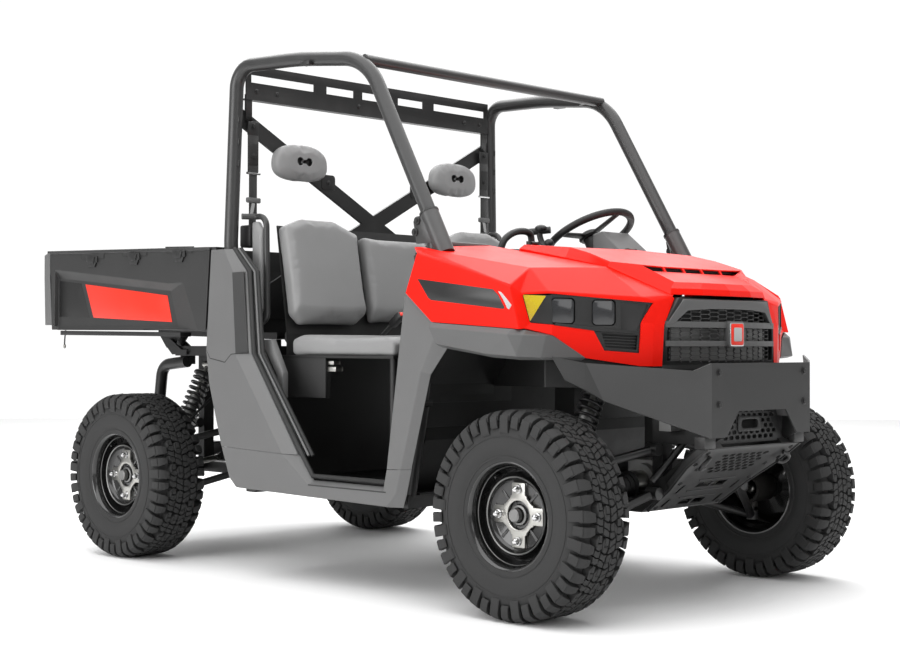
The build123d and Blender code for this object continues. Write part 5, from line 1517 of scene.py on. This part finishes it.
@dataclass
class RunningGear:
    """Coil springs, damper bodies, boots, hoses and driveline details."""

    low: Point2 = (430.0, 476.3)
    high: Point2 = (300.0, 745.7)
    coil_r: float = 36.0
    wire: float = 5.2
    turns: float = 8.5

    def strut(self, datum_y: float) -> Shape:
        """The left coil spring and damper of one axle."""
        axis = Vector((self.high[0] - self.low[0], 0, self.high[1] - self.low[1]))
        length = axis.length
        place = plane((self.low[0], datum_y, self.low[1]), tuple(axis), (0, 1, 0))
        made = Shape()
        coil = []
        for step in range(int(self.turns * 20) + 1):
            turn = math.tau * step / 20
            along = 52 + (length - 104) * step / (self.turns * 20)
            coil.append((along, self.coil_r * math.cos(turn), self.coil_r * math.sin(turn)))
        spring = Shape().pipe(coil, self.wire, 0, 8)
        made.join(spring, place)
        made.turned([(44, 0), (44, 42), (50, 43), (52, 30), (52, 0)], place, 32, 0, False)
        made.turned([(52, 0), (52, 22), (56, 24), (150, 24), (154, 20), (154, 0)], place, 32, 1, False)
        made.turned([(150, 0), (150, 9), (length - 50, 9), (length - 50, 0)], place, 20, 2, False)
        made.turned(
            [(length - 56, 0), (length - 56, 30), (length - 50, 43), (length - 44, 42), (length - 44, 0)],
            place, 32, 0, False,
        )
        return made

    def boot(
        self, place: Matrix, start: float, stop: float, wide: float, narrow: float, folds: int = 5
    ) -> Shape:
        """A pleated rubber boot along the place's x axis."""
        line: list[Point2] = [(start, 0.0)]
        for step in range(folds * 2 + 1):
            share = step / (folds * 2)
            radius = wide + (narrow - wide) * share
            line.append((start + (stop - start) * share, radius - (5 if step % 2 else 0)))
        return Shape().turned(line + [(stop, 0.0)], place, 28, 3, False)

    def make_struts(self) -> Piece:
        """The four struts."""
        made = Shape()
        for y in (fy(0), ry(0)):
            made.join(self.strut(y))
        made.mirrored()
        finishes = [FRAME_COAT, CAST_ALLOY_AND_RIM_HIGHLIGHT, CHROME, RUBBER]
        return made.build("coil_springs", finishes, "frame_black", ["springs"], 40)

    def make_boots(self) -> Piece:
        """Boots on the half shafts."""
        made = Shape()
        for y in (fy(0), ry(0)):
            shaft = Vector((560 - 115, 0, 317 - 385))
            place = plane((115, y, 385), tuple(shaft), (0, 1, 0))
            made.join(self.boot(place, 40, 130, 42, 17))
            made.join(self.boot(place, shaft.length - 150, shaft.length - 75, 17, 32))
        return made.mirrored().build(
            "shaft_boots", [FRAME_COAT, CAST_ALLOY_AND_RIM_HIGHLIGHT, CHROME, RUBBER], "rubber_black", (), 30
        )

    def make_tubes(self) -> Piece:
        """Hoses, hanger tubes and brackets behind the wheels."""
        front_hose = [(420, fy(60), 490), (390, fy(90), 550), (330, fy(80), 610), (225, fy(70), 640)]
        rear_hose = [(540, ry(-60), 440), (450, ry(-100), 540), (300, ry(-90), 650), (230, ry(-90), 700)]
        hanger = [(150, fy(-250), 560), (190, fy(-200), 470), (230, fy(-150), 400)]
        hook = [(205, fy(-352), 480), (240, fy(-362), 470), (240, fy(-330), 440), (205, fy(-330), 450)]
        made = Shape()
        for x_sign in SIDES:
            for route, radius, skin, steps in (
                (front_hose, 5, 0, 8), (rear_hose, 5, 0, 8), (hanger, 12, 1, 10), (hook, 7, 1, 10)
            ):
                made.pipe([(x_sign * x, y, z) for x, y, z in route], radius, skin, steps)
        return made.build("hoses_and_hooks", [RUBBER, FRAME_COAT], "frame_black", (), 40)

    def build(self) -> list[Piece]:
        """All pieces."""
        return [self.make_struts(), self.make_boots(), self.make_tubes()]


def stuffed(form: Shape, voxel: float, cap: float, pressure: float = 4.0) -> Shape:
    """A padded piece from its plain form.

    Args:
        form: the closed form, a little smaller than the finished piece.
        voxel: edge length of its new mesh.
        cap: how far a point may swell.
        pressure: the filling's pressure.

    Returns:
        The swollen piece, in millimetres.
    """
    scene = bpy.context.scene
    mesh = bpy.data.meshes.new("pad")
    bmesh.ops.scale(form.bm, vec=(MM,) * 3, verts=form.bm.verts)
    form.bm.to_mesh(mesh)
    holder = bpy.data.objects.new("pad", mesh)
    scene.collection.objects.link(holder)
    remesh = holder.modifiers.new("remesh", "REMESH")
    remesh.mode, remesh.voxel_size = "VOXEL", voxel * MM
    holder.data = evaluated_mesh(holder)
    holder.modifiers.clear()
    start = [v.co.copy() for v in holder.data.vertices]
    cloth = holder.modifiers.new("cloth", "CLOTH")
    cloth.settings.quality = 4
    cloth.settings.mass = 0.3
    cloth.settings.use_pressure = True
    cloth.settings.uniform_pressure_force = pressure
    cloth.settings.effector_weights.gravity = 0.0
    for step in range(1, 21):
        scene.frame_set(step)
    swollen = holder.evaluated_get(bpy.context.evaluated_depsgraph_get()).data
    moved = [v.co.copy() for v in swollen.vertices]
    holder.modifiers.clear()
    scene.frame_set(1)
    for vert, old, new in zip(holder.data.vertices, start, moved):
        shift = new - old
        vert.co = old + shift * min(1.0, cap * MM / max(shift.length, 1e-9))
    made = Shape()
    made.bm.from_mesh(holder.data)
    bpy.data.objects.remove(holder)
    for _ in range(3):
        bmesh.ops.smooth_vert(
            made.bm, verts=made.bm.verts, factor=0.5, use_axis_x=True, use_axis_y=True, use_axis_z=True
        )
    bmesh.ops.scale(made.bm, vec=(1 / MM,) * 3, verts=made.bm.verts)
    return made


@dataclass
class Seats:
    """The bench: cushion, three backs, two headrests, bolsters, belts and buckles."""

    voxel: float = 6.0
    crown: float = 9.0
    rest_x: float = 408.0
    rest_z: float = 1503.0

    def on_back(self) -> Matrix:
        """The leaned plane of the backs' fronts: x across, y up along it and z forwards."""
        return plane((0, ry(-901.6), 896), (1, 0, 0), (0, 72.6, 404))

    def finish(self, shape: Shape, name: str, replaces: Sequence[str], fill: float = 0.8) -> Piece:
        """Makes a padded object on the chassis."""
        made = shape.build(name, [VINYL, BLACK_PANEL], "vinyl_grey", replaces, 60)
        finer = made.modifiers.new("finer", "SUBSURF")
        finer.levels = finer.render_levels = 1
        return made

    def back(self, outline: Sequence[Point2], front: float, name: str, replaces: Sequence[str]) -> Piece:
        """One padded back panel.

        Args:
            outline: (across, along the lean) corners.
            front: how far behind the backs' front plane its face starts.
            name: its name.
            replaces: the solids it stands for.

        Returns:
            The object.
        """
        depth = 66.0 - front
        form = Shape().prism(outline, self.on_back() @ lift(-front - depth), depth)
        low = self.on_back() @ Vector((0, 58, -front))
        turned = (self.on_back().to_3x3() @ Vector((0, -0.55, 1))).normalized()
        form.slice(tuple(low), tuple(turned))
        form.soften(17, 4, 20)
        return self.finish(stuffed(form, self.voxel, self.crown), name, replaces)

    def make_backs(self) -> list[Piece]:
        """The outer panels with their sloping shoulders and the lower middle panel."""
        side = [(221, 40), (262, 4), (544, 4), (580, 44), (580, 374), (500, 405), (336, 405), (221, 358)]
        left = self.back(side, 8, "seat_back_left", ["seat_backs"])
        right = self.back(mirror_x(side), 8, "seat_back_right", [])
        middle = self.back([(-202, 16), (202, 16), (202, 350), (-202, 350)], 15, "seat_back_middle", [])
        return [left, right, middle]

    def make_cushions(self) -> list[Piece]:
        """The three sections of the cushion, dipped in the middle."""
        made = []
        line = [
            (-1412, 791), (-870, 791), (-868, 849), (-905, 855), (-990, 853), (-1095, 840), (-1220, 843),
            (-1385, 847), (-1412, 832),
        ]
        for number, (x0, x1) in enumerate(((-592, -205), (-203, 203), (205, 592))):
            form = Shape().prism([(ry(d), z) for d, z in line], side_plane(x0), x1 - x0).soften(13, 4, 20)
            whole = stuffed(form, self.voxel, self.crown * 0.8)
            made.append(self.finish(
                whole, f"seat_cushion_{number}", ["seat_cushion"] if number == 0 else [], 0.75,
            ))
        return made

    def make_headrests(self) -> list[Piece]:
        """Two oval headrests with a double finger recess, on their brackets."""
        made = []
        for x_sign, name in ((1, "left"), (-1, "right")):
            egg = []
            for step in range(40):
                turn = math.tau * step / 40
                c, s = math.cos(turn), math.sin(turn)
                u = 125 * math.copysign(abs(c) ** 0.72, c) * (1 - 0.06 * s)
                egg.append((x_sign * self.rest_x + u, self.rest_z + 69 * math.copysign(abs(s) ** 0.78, s)))
            form = Shape().prism(egg, front_plane(ry(-675)), 54).soften(20, 5, 25)
            pad = stuffed(form, 4.0, 6.0)
            x, z = x_sign * self.rest_x, self.rest_z + 4
            for u in (-21, 21):
                pad.cut(Shape().rod((x + u, ry(-712), z), (x + u, ry(-770), z), 15, 24), 1, False)
            pad.cut(Shape().block((x - 18, x + 18), (ry(-770), ry(-718)), (z - 7, z + 7)), 0, False)
            made.append(self.finish(pad, f"headrest_{name}", ["headrests"] if x_sign > 0 else [], 0.85))
        return made

    def make_bolsters(self) -> list[Piece]:
        """The narrow pads inside the tube loops at the seat's ends."""
        made = []
        for x_sign, name in ((1, "left"), (-1, "right")):
            form = Shape().node("bolster_pads")
            form.slice((x_sign * 20, 0, 0), (-x_sign, 0, 0))
            form.soften(6.5, 4, 25)
            made.append(self.finish(
                stuffed(form, 4.0, 3.0), f"bolster_{name}", ["bolster_pads"] if x_sign > 0 else [], 0.7,
            ))
        return made

    def belt(self) -> Shape:
        """The left shoulder belt: loop, height adjuster, guide, tongue and strap."""
        made = Shape()
        x, y = 614.0, ry(-680)
        made.block((x - 24, x + 24), (y - 9, y + 1), (1588, 1640), 4, 1)
        made.join(bolt(facing_front(x, y - 9, 1622), 9, 7, 1))
        made.block((x - 24, x + 24), (y - 8, y - 3), (1452, 1592), 1.5)
        made.block((x - 20, x + 20), (y - 10, y - 6), (1480, 1560), 2.5, 1)
        made.join(bolt(facing_front(x, y - 10, 1512), 8, 4, 1))
        made.rod((x - 30, y - 8, 1450), (x + 30, y - 8, 1450), 4.5, 12, 2)
        made.block((x - 18, x + 18), (y - 7, y - 4), (1300, 1450), 0.8)
        made.block((x - 32, x + 32), (y - 14, y - 2), (1342, 1362), 5, 3)
        made.prism(
            [(x - 8, 1342), (x + 8, 1342), (x + 18, 1292), (x + 4, 1284)], front_plane(y - 6), 3, 0.8, 2
        )
        made.block((x - 16, x + 16), (y - 4, y - 1), (1190, 1300), 0.8)
        made.block((590, 640), (ry(-700), ry(-640)), (1180, 1262), 8, 1)
        place = plane((206, ry(-1000), 905), (0, -0.8, 0.6), (1, 0, 0))
        buckle = Shape().block((-10, 56), (-15, 15), (-14, 14), 6, 1)
        buckle.block((53, 59), (-9, 9), (-8, 8), 1.5, 4)
        buckle.block((-70, -8), (-12, 12), (-3, 3), 1.2)
        made.join(buckle, place)
        return made

    def make_belts(self) -> Piece:
        """Both belts with their buckles."""
        finishes = [WEBBING, BLACK_PANEL, CHROME, GREY_PANEL, RED_FILM]
        return self.belt().mirrored().build("seat_belts_fitted", finishes, "webbing", ["seat_belts"], 30)

    def build(self) -> list[Piece]:
        """All pieces of the bench."""
        made = self.make_backs() + self.make_cushions() + self.make_headrests() + self.make_bolsters()
        return made + [self.make_belts()]


@dataclass
class CargoBed:
    """The tilting cargo bed: side skins, rails, latches, ribs and tailgate."""

    latches: tuple[float, ...] = (2277, 1985, 1691)
    outer: float = 706.0
    inner: float = 685.0
    ribs: int = 11
    rib_pitch: float = 112.0

    def skin(self) -> Shape:
        """The left side skin, with its recessed lower panel and slanted facets."""
        o, i = self.outer, self.inner
        points: dict[str, Point3] = {
            "u0": (o, 2594, 1206), "u1": (o, 1506, 1180), "f4": (o, 1530, 880), "e4": (o, 1580, 881),
            "e2": (o, 1670, 1057),
            "s2": (o, 1766, 1056), "sl": (o, 2560, 1134), "c1": (i, 2560, 1100), "c2": (i, 1776, 1029),
            "c4": (i, 1730, 895),
            "c5": (i, 2560, 902), "k5": (o, 2560, 902), "k6": (o, 2580, 902), "t1": (o, 2596, 1134),
            "l4": (i + 6, 1726, 880),
            "l5": (i + 6, 2560, 886), "l6": (o, 2578, 886),
        }
        faces = [
            "u0 u1 f4 e4 e2 s2 sl t1", "sl s2 c2 c1", "s2 e2 c2", "c2 e2 e4 c4", "c1 c2 c4 c5", "sl c1 c5 k5",
            "t1 sl k5 k6",
            "c5 c4 l4 l5", "c4 e4 l4", "k5 c5 l5 l6 k6",
        ]
        made = Shape().shell(points, faces, 3.0, (600, 2000, 1000), 3.0)
        for d in self.latches:
            notch = [(d + 92, 1196), (d + 82, 1168), (d - 82, 1164), (d - 90, 1190)]
            made.side_prism(notch, o - 0.2, 0.9, 0, 1)
            inner = [(d + 84, 1194), (d + 76, 1172), (d - 76, 1168), (d - 82, 1188)]
            made.side_prism(inner, o + 0.6, 0.7, 0, 0)
            body = [
                (d + 40, 1180), (d + 38, 1158), (d + 30, 1156), (d + 24, 1136), (d - 22, 1134),
                (d - 30, 1152), (d - 40, 1154), (d - 38, 1178),
            ]
            made.side_prism(body, o, 7, 1.5, 1)
            made.side_prism(
                [(d + 30, 1176), (d + 20, 1150), (d - 18, 1150), (d - 26, 1174)], o + 6, 5, 1.2, 1
            )
        film = [(2361, 1069), (1797, 1012), (1766, 911), (2300, 933)]
        made.side_prism(film, i + 0.2, 1.0, 0.3, 2)
        tag = [(2555, 1088), (2392, 1072), (2330, 934), (2555, 940)]
        made.side_prism(tag, i + 0.1, 0.7, 0.2, 1)
        made.side_prism([(2598, 1212), (1504, 1184), (1504, 1170), (2598, 1197)], o - 46, 50, 4)
        made.side_prism([(2530, 882), (1700, 872), (1700, 856), (2530, 864)], o - 60, 50, 1, 1)
        corner = [
            (2640, 1196), (2598, 1208), (2598, 1140), (2584, 1100), (2580, 905), (2632, 905), (2640, 1100)
        ]
        made.side_prism(corner, o - 8, 8, 2.5, 3)
        return made

    def make_bed(self) -> Piece:
        """The box with its skins, floor ribs and headboard frame."""
        base = Shape().node("cargo_bed")
        base.cut(Shape().box((681, 706), (1520, 2570), (884, 1172)).mirrored())
        made = Shape().join(base.soften(1.5, 1, 40))
        made.join(self.skin().mirrored())
        for step in range(self.ribs):
            x = (step - self.ribs // 2) * self.rib_pitch
            line = [(1530, 897.5), (2520, 923.4), (2520, 930), (1530, 904)]
            made.side_prism(line, x - 22, 44, 2.0)
        for x in (-420, 0, 420):
            made.front_prism([(x - 150, 925), (x + 150, 925), (x + 170, 1150), (x - 170, 1150)], 1482, 4, 2)
        for x_sign in SIDES:
            ring = [
                (x_sign * 655, fy(2556), 884), (x_sign * 656, fy(2562), 850), (x_sign * 655, fy(2564), 826)
            ]
            made.pipe(ring, 3, 1, 6)
            made.ball((x_sign * 655, fy(2564), 818), (6, 6, 10), 4)
        finishes = [BED_SKIN, BLACK_PANEL, RED_FILM, GREY_PANEL, ZINC]
        return made.build("cargo_bed_skins", finishes, "bed_charcoal", ["cargo_bed"], 30, body="bed")

    def make_gate(self) -> Piece:
        """The tailgate with pressed panels and its pull handle."""
        made = Shape().node("tailgate").soften(2.0, 2)
        for x0, x1 in ((-600, -215), (-195, 195), (215, 600)):
            panel = [(x0, 930), (x1, 930), (x1, 1130), (x0, 1130)]
            made.prism(panel, plane((0, fy(2639.5), 0), (-1, 0, 0), (0, 0, 1)), 3.5, 1.6)
        handle = plane((0, fy(2643), 1150), (-1, 0, 0), (0, 0, 1))
        made.prism(rounded_box((0, 0), 90, 22, 10), handle, 3, 1.2, 1)
        made.prism(rounded_box((0, 2), 70, 9, 6), handle, 8, 2.0, 1)
        return made.build(
            "tailgate_pressed", [BED_SKIN, BLACK_PANEL], "bed_charcoal", ["tailgate"], 30, body="tailgate"
        )

    def build(self) -> list[Piece]:
        """All pieces."""
        return [self.make_bed(), self.make_gate()]


@dataclass
class Cabin:
    """Dash, instrument hood, grab bar, shift lever, steering wheel, pedals, floor ribs and seat latch."""

    hub: Point3 = (390.0, 612.0, 1236.0)
    column: Point3 = (0.0, 0.5, 0.866)
    grip_r: float = 170.0
    grip_half: float = 13.6
    notches: int = 72
    floor_rib_pitch: int = 45

    def on_column(self) -> Matrix:
        """The steering wheel's place: x along the column towards the driver."""
        x, d, z = self.hub
        return plane((x, fy(d), z), self.column, (1, 0, 0))

    def make_dash(self) -> Piece:
        """The dash with its instrument hood, cowl strips, vents and lever."""
        made = Shape().node("dashboard")
        for xs, ds, low in (((-460, -170), (440, 480), 1166), ((135, 205), (495, 615), 1120)):
            across = [v for v in made.bm.verts if xs[0] < v.co.x < xs[1] and v.co.z > low]
            inside = [v for v in across if fy(ds[0]) < v.co.y < fy(ds[1])]
            bmesh.ops.delete(made.bm, geom=inside, context="VERTS")
        made.soften(2.0, 2, 35)
        bar = [
            (-262, 474, 1130), (-258, 466, 1176), (-225, 462, 1204), (-180, 462, 1219), (-130, 462, 1220),
            (-106, 462, 1204), (-108, 464, 1130),
        ]
        made.pipe([(x, fy(d), z) for x, d, z in bar], 12, 0, 12)
        points: dict[str, Point3] = {
            "b0": (312, 488, 1247), "b1": (468, 488, 1247), "b2": (474, 398, 1172), "b3": (318, 408, 1172),
            "b4": (304, 524, 1120),
            "b5": (306, 528, 1236), "b6": (476, 524, 1120), "b7": (474, 528, 1236), "b8": (308, 440, 1120),
            "b9": (478, 430, 1120),
        }
        faces = ["b0 b1 b2 b3", "b0 b3 b8 b4 b5", "b1 b7 b6 b9 b2", "b0 b5 b7 b1", "b5 b4 b6 b7"]
        made.shell(points, faces, 4.0, (390, 470, 1140), 5.0, 1)
        gauge = plane((390, fy(530.5), 1192), (0, 1, 0.25), (1, 0, 0))
        made.turned([(0, 0), (0, 46), (5, 46), (6, 43), (3, 40), (3, 0)], gauge, 40, 0, False)
        made.turned([(3.2, 0), (3.2, 39)], gauge, 40, 3, False)
        for x0, x1 in ((352, 622), (-622, -352)):
            made.side_prism([(437, 1148), (437, 1164), (470, 1166), (476, 1150)], x0, x1 - x0, 4, 1)
        for x0, x1 in ((-560, -240), (-160, 60)):
            made.prism(
                [(x0, 1010), (x1, 1010), (x1, 1105), (x0, 1105)],
                plane((0, fy(536), 0), (-1, 0, 0), (0, 0.08, 1)), 5, 3,
            )
        lever = [(168, 560, 1110), (160, 640, 1190), (152, 655, 1226), (150, 652, 1248)]
        made.pipe([(x, fy(d), z) for x, d, z in lever], 11, 0, 10)
        made.rod((128, fy(690), 1242), (172, fy(618), 1250), 13, 16)
        made.ball((150, fy(645), 1255), (22, 24, 14))
        made.ball((150, fy(606), 1200), (17, 19, 15))
        made.rod((150, fy(606), 1150), (150, fy(606), 1200), 7, 12)
        for x, z in ((90, 1090), (130, 1090), (250, 1090)):
            made.turned(
                [(0, 0), (0, 13), (6, 12), (6, 0)], plane((x, fy(540), z), (0, 1, 0.1), (1, 0, 0)), 20, 2,
                False,
            )
        finishes = [BLACK_PANEL, GREY_PANEL, ZINC, LENS]
        return made.build("dashboard_trimmed", finishes, "trim_black", ["dashboard"], 32)

    def make_wheel(self) -> Piece:
        """The steering wheel with finger notches, three spokes and a hub pad."""
        made = Shape()
        place = self.on_column()
        turns, half = [math.tau * k / 16 for k in range(16)], self.grip_half
        ring = [(half * math.cos(turn), self.grip_r + half * math.sin(turn)) for turn in turns]
        made.turned(ring, place, 96)
        for notch in ring_of(self.notches, self.grip_r - 11, place):
            middle = notch @ Vector((-3, 0, 0))
            made.ball(tuple(middle), (4.6, 4.6, 4.6))
        for turn in (0.0, math.pi, math.pi * 1.5):
            spoke = place @ spin(turn)
            blade = [(22, -17), (60, -14), (160, -11), (160, 11), (60, 14), (22, 17)]
            made.prism(blade, spoke @ plane((-5, 0, 0), (0, 1, 0), (0, 0, 1)), 9, 2.5)
        made.turned([(-10, 0), (-10, 36), (-2, 42), (10, 38), (15, 30), (16, 0)], place, 40, 0, False)
        made.turned([(-60, 0), (-60, 28), (-12, 28), (-10, 0)], place, 32, 0, False)
        made.turned([(-84, 0), (-84, 8), (-58, 8), (-58, 0)], place, 20, 1, False)
        finishes = [RUBBER, ZINC]
        return made.build(
            "steering_wheel_gripped", finishes, "rubber_black", ["steering_wheel"], 35, body="steering_wheel"
        )

    def make_fittings(self) -> Piece:
        """Floor ribs, pedals, seat latch and the panels below the seat."""
        made = Shape()
        for step in range(13):
            start = 610 + step * self.floor_rib_pitch
            made.box((-600, 600), (start, start + 16), (345.5, 349), 1.2)
        for x, wide in ((330, 34), (430, 28)):
            pedal = plane((x, fy(590), 470), (1, 0, 0), (0, -0.35, 1))
            made.block_at(pedal, (-wide, wide), (-45, 45), 8, 1, 3)
            made.pipe([(x, fy(588), 500), (x, fy(560), 600), (x, fy(520), 700)], 7, 1, 8)
        for x_sign in SIDES:
            made.block((x_sign * 576 - 12, x_sign * 576 + 12), (ry(-1060), ry(-800)), (640, 786), 2)
            made.box((x_sign * 560 - 16, x_sign * 560 + 16), (968, 1080), (756, 770), 3, 2)
            made.box((x_sign * 560 - 18, x_sign * 560 + 18), (955, 1030), (732, 750), 4, 2)
        return made.build("cab_fittings", [LINER_AND_GRILLE_SHADE, FRAME_COAT, ZINC], "trim_black", (), 32)

    def build(self) -> list[Piece]:
        """All pieces of the cab."""
        return [self.make_dash(), self.make_wheel(), self.make_fittings()]


def dress_nodes() -> None:
    """Gives every solid that still shows its real finish."""
    table = [
        (CAGE_COAT, "roll_cage cage_brace"),
        (FRAME_COAT, "frame front_arms rear_arms skid_plate seat_base springs"),
        (BUMPER_COAT, "bumper"),
        (RED_SKIN, "hood front_fenders"),
        (GREY_PANEL, "pillar_panels rockers quarter_panels"),
        (FLARE_GREY, "arch_flares"),
        (BLACK_PANEL, "grille dashboard headlights"),
        (LINER_AND_GRILLE_SHADE, "floor_pan"),
        (TAIL_RED, "tail_lights"),
        (BED_SKIN, "cargo_bed tailgate"),
        (VINYL, "seat_cushion seat_backs headrests bolster_pads"),
        (WEBBING, "seat_belts"),
        (RUBBER, "steering_wheel"),
        (ZINC, "half_shafts tie_rod_left tie_rod_right shocks exhaust"),
        (CAST_IRON, "knuckle_left knuckle_right rear_uprights engine"),
        (CAST_ALLOY_AND_RIM_HIGHLIGHT, "differentials steering_rack radiator"),
    ]
    finishes = {name: finish for finish, names in table for name in names.split()}
    for name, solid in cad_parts.items():
        if solid.hide_render:
            continue
        material = finishes[name].make()
        for slot in solid.material_slots:
            slot.material = material


@dataclass
class Studio:
    """The floor, soft light and camera."""

    eye: Point3 = (-4.1592, -4.2280, 0.8275)
    yaw: float = 46.4365
    pitch: float = 0.8012
    roll: float = 0.0954
    lens: float = 62.153
    shift: Point2 = (-0.02626, -0.00237)
    softboxes: tuple[tuple[str, Point3, Point3, Point2, float], ...] = (
        ("overhead", (-0.6, -0.4, 4.4), (0, 0, 0), (7.0, 8.0), 380),
        ("back", (4.0, 4.2, 5.0), (3.6, 3.8, 0), (7.0, 7.0), 330),
        ("side", (-6.0, 1.0, 2.2), (0, 0.2, 0.7), (4.0, 2.6), 150),
        ("front", (-1.5, -6.0, 2.2), (0, -0.8, 0.8), (2.4, 1.6), 18),
    )

    def sheet(self, name: str, material: bpy.types.Material, place: Matrix) -> None:
        """A square sheet of the studio, two metres wide before it is placed."""
        part = bmesh.new()
        bmesh.ops.create_grid(part, x_segments=1, y_segments=1, size=1)
        bmesh.ops.transform(part, matrix=place, verts=part.verts)
        mesh = bpy.data.meshes.new(name)
        part.to_mesh(mesh)
        part.free()
        mesh.materials.append(material)
        made = linked(bpy.data.objects.new(name, mesh))

    def lay_floor(self) -> None:
        """A plain pale floor."""
        self.sheet("floor", STAGE.make(), Matrix.Diagonal((60, 60, 1, 1)))

    def set_camera(self) -> None:
        """The camera, low and beyond the right front wheel."""
        yaw, pitch, roll = (math.radians(v) for v in (self.yaw, self.pitch, self.roll))
        ahead = Vector((math.sin(yaw) * math.cos(pitch), math.cos(yaw) * math.cos(pitch), math.sin(pitch)))
        right = ahead.cross(Vector((0, 0, 1))).normalized()
        up = right.cross(ahead)
        lean = Matrix.Rotation(-roll, 3, ahead)
        right, up = lean @ right, lean @ up
        data = bpy.data.cameras.new("camera")
        data.lens, data.sensor_width = self.lens, 36.0
        data.shift_x, data.shift_y = self.shift
        data.clip_end = 200.0
        camera = bpy.data.objects.new("camera", data)
        placed = Matrix((right, up, -ahead)).transposed().to_4x4()
        placed.translation = Vector(self.eye)
        camera.matrix_world = placed
        bpy.context.scene.collection.objects.link(camera)
        bpy.context.scene.camera = camera

    def softbox(self, name: str, at: Point3, aim: Point3, size: Point2, power: float) -> None:
        """An area light aimed at a point."""
        light = bpy.data.lights.new(name, "AREA")
        light.shape, light.size, light.size_y, light.energy = "RECTANGLE", size[0], size[1], power
        holder = bpy.data.objects.new(name, light)
        holder.location = at
        holder.rotation_euler = (Vector(aim) - Vector(at)).to_track_quat("-Z", "Y").to_euler()
        bpy.context.scene.collection.objects.link(holder)

    def hang_backdrop(self) -> None:
        """A wide white wall behind the vehicle, square to the camera."""
        wall = bpy.data.materials.new("lit_backdrop_paper")
        wall.use_nodes = True
        tree = wall.node_tree
        tree.nodes.clear()
        glow = tree.nodes.new("ShaderNodeEmission")
        glow.inputs[0].default_value = (1, 1, 1, 1)
        glow.inputs[1].default_value = 1.05
        tree.links.new(glow.outputs[0], tree.nodes.new("ShaderNodeOutputMaterial").inputs[0])
        turn = Matrix.Rotation(-math.radians(self.yaw), 4, "Z") @ spin(math.pi / 2)
        self.sheet(
            "backdrop", wall, Matrix.Translation((8.0, 8.0, 6.9)) @ turn @ Matrix.Diagonal((16, 7, 1, 1))
        )

    def set_light(self) -> None:
        """A dim surround and the softboxes."""
        world = bpy.data.worlds.new("surround")
        world.use_nodes = True
        world.node_tree.nodes["Background"].inputs[0].default_value = (1, 1, 1, 1)
        world.node_tree.nodes["Background"].inputs[1].default_value = 0.5
        bpy.context.scene.world = world
        bpy.context.scene.view_settings.view_transform = "Standard"
        for name, at, aim, size, power in self.softboxes:
            self.softbox(name, at, aim, size, power)

    def build(self) -> None:
        """Floor, camera and lights."""
        self.lay_floor()
        self.hang_backdrop()
        self.set_camera()
        self.set_light()


def main() -> None:
    """Builds the vehicle and its studio."""
    logging.basicConfig(level=logging.INFO, format="%(message)s")
    Studio().build()
    corners = [
        ("front_left", 1, fy(0)), ("front_right", -1, fy(0)), ("rear_left", 1, ry(0)),
        ("rear_right", -1, ry(0)),
    ]
    assemblies: list[Any] = [Wheel(corner, side, y) for corner, side, y in corners]
    assemblies += [
        FrontBody(), NoseArmour(), SidePanels(), CargoBed(), CageFittings(), RunningGear(), Seats(), Cabin()
    ]
    for assembly in assemblies:
        assembly.build()
    dress_nodes()


if __name__ == "__main__":
    main()
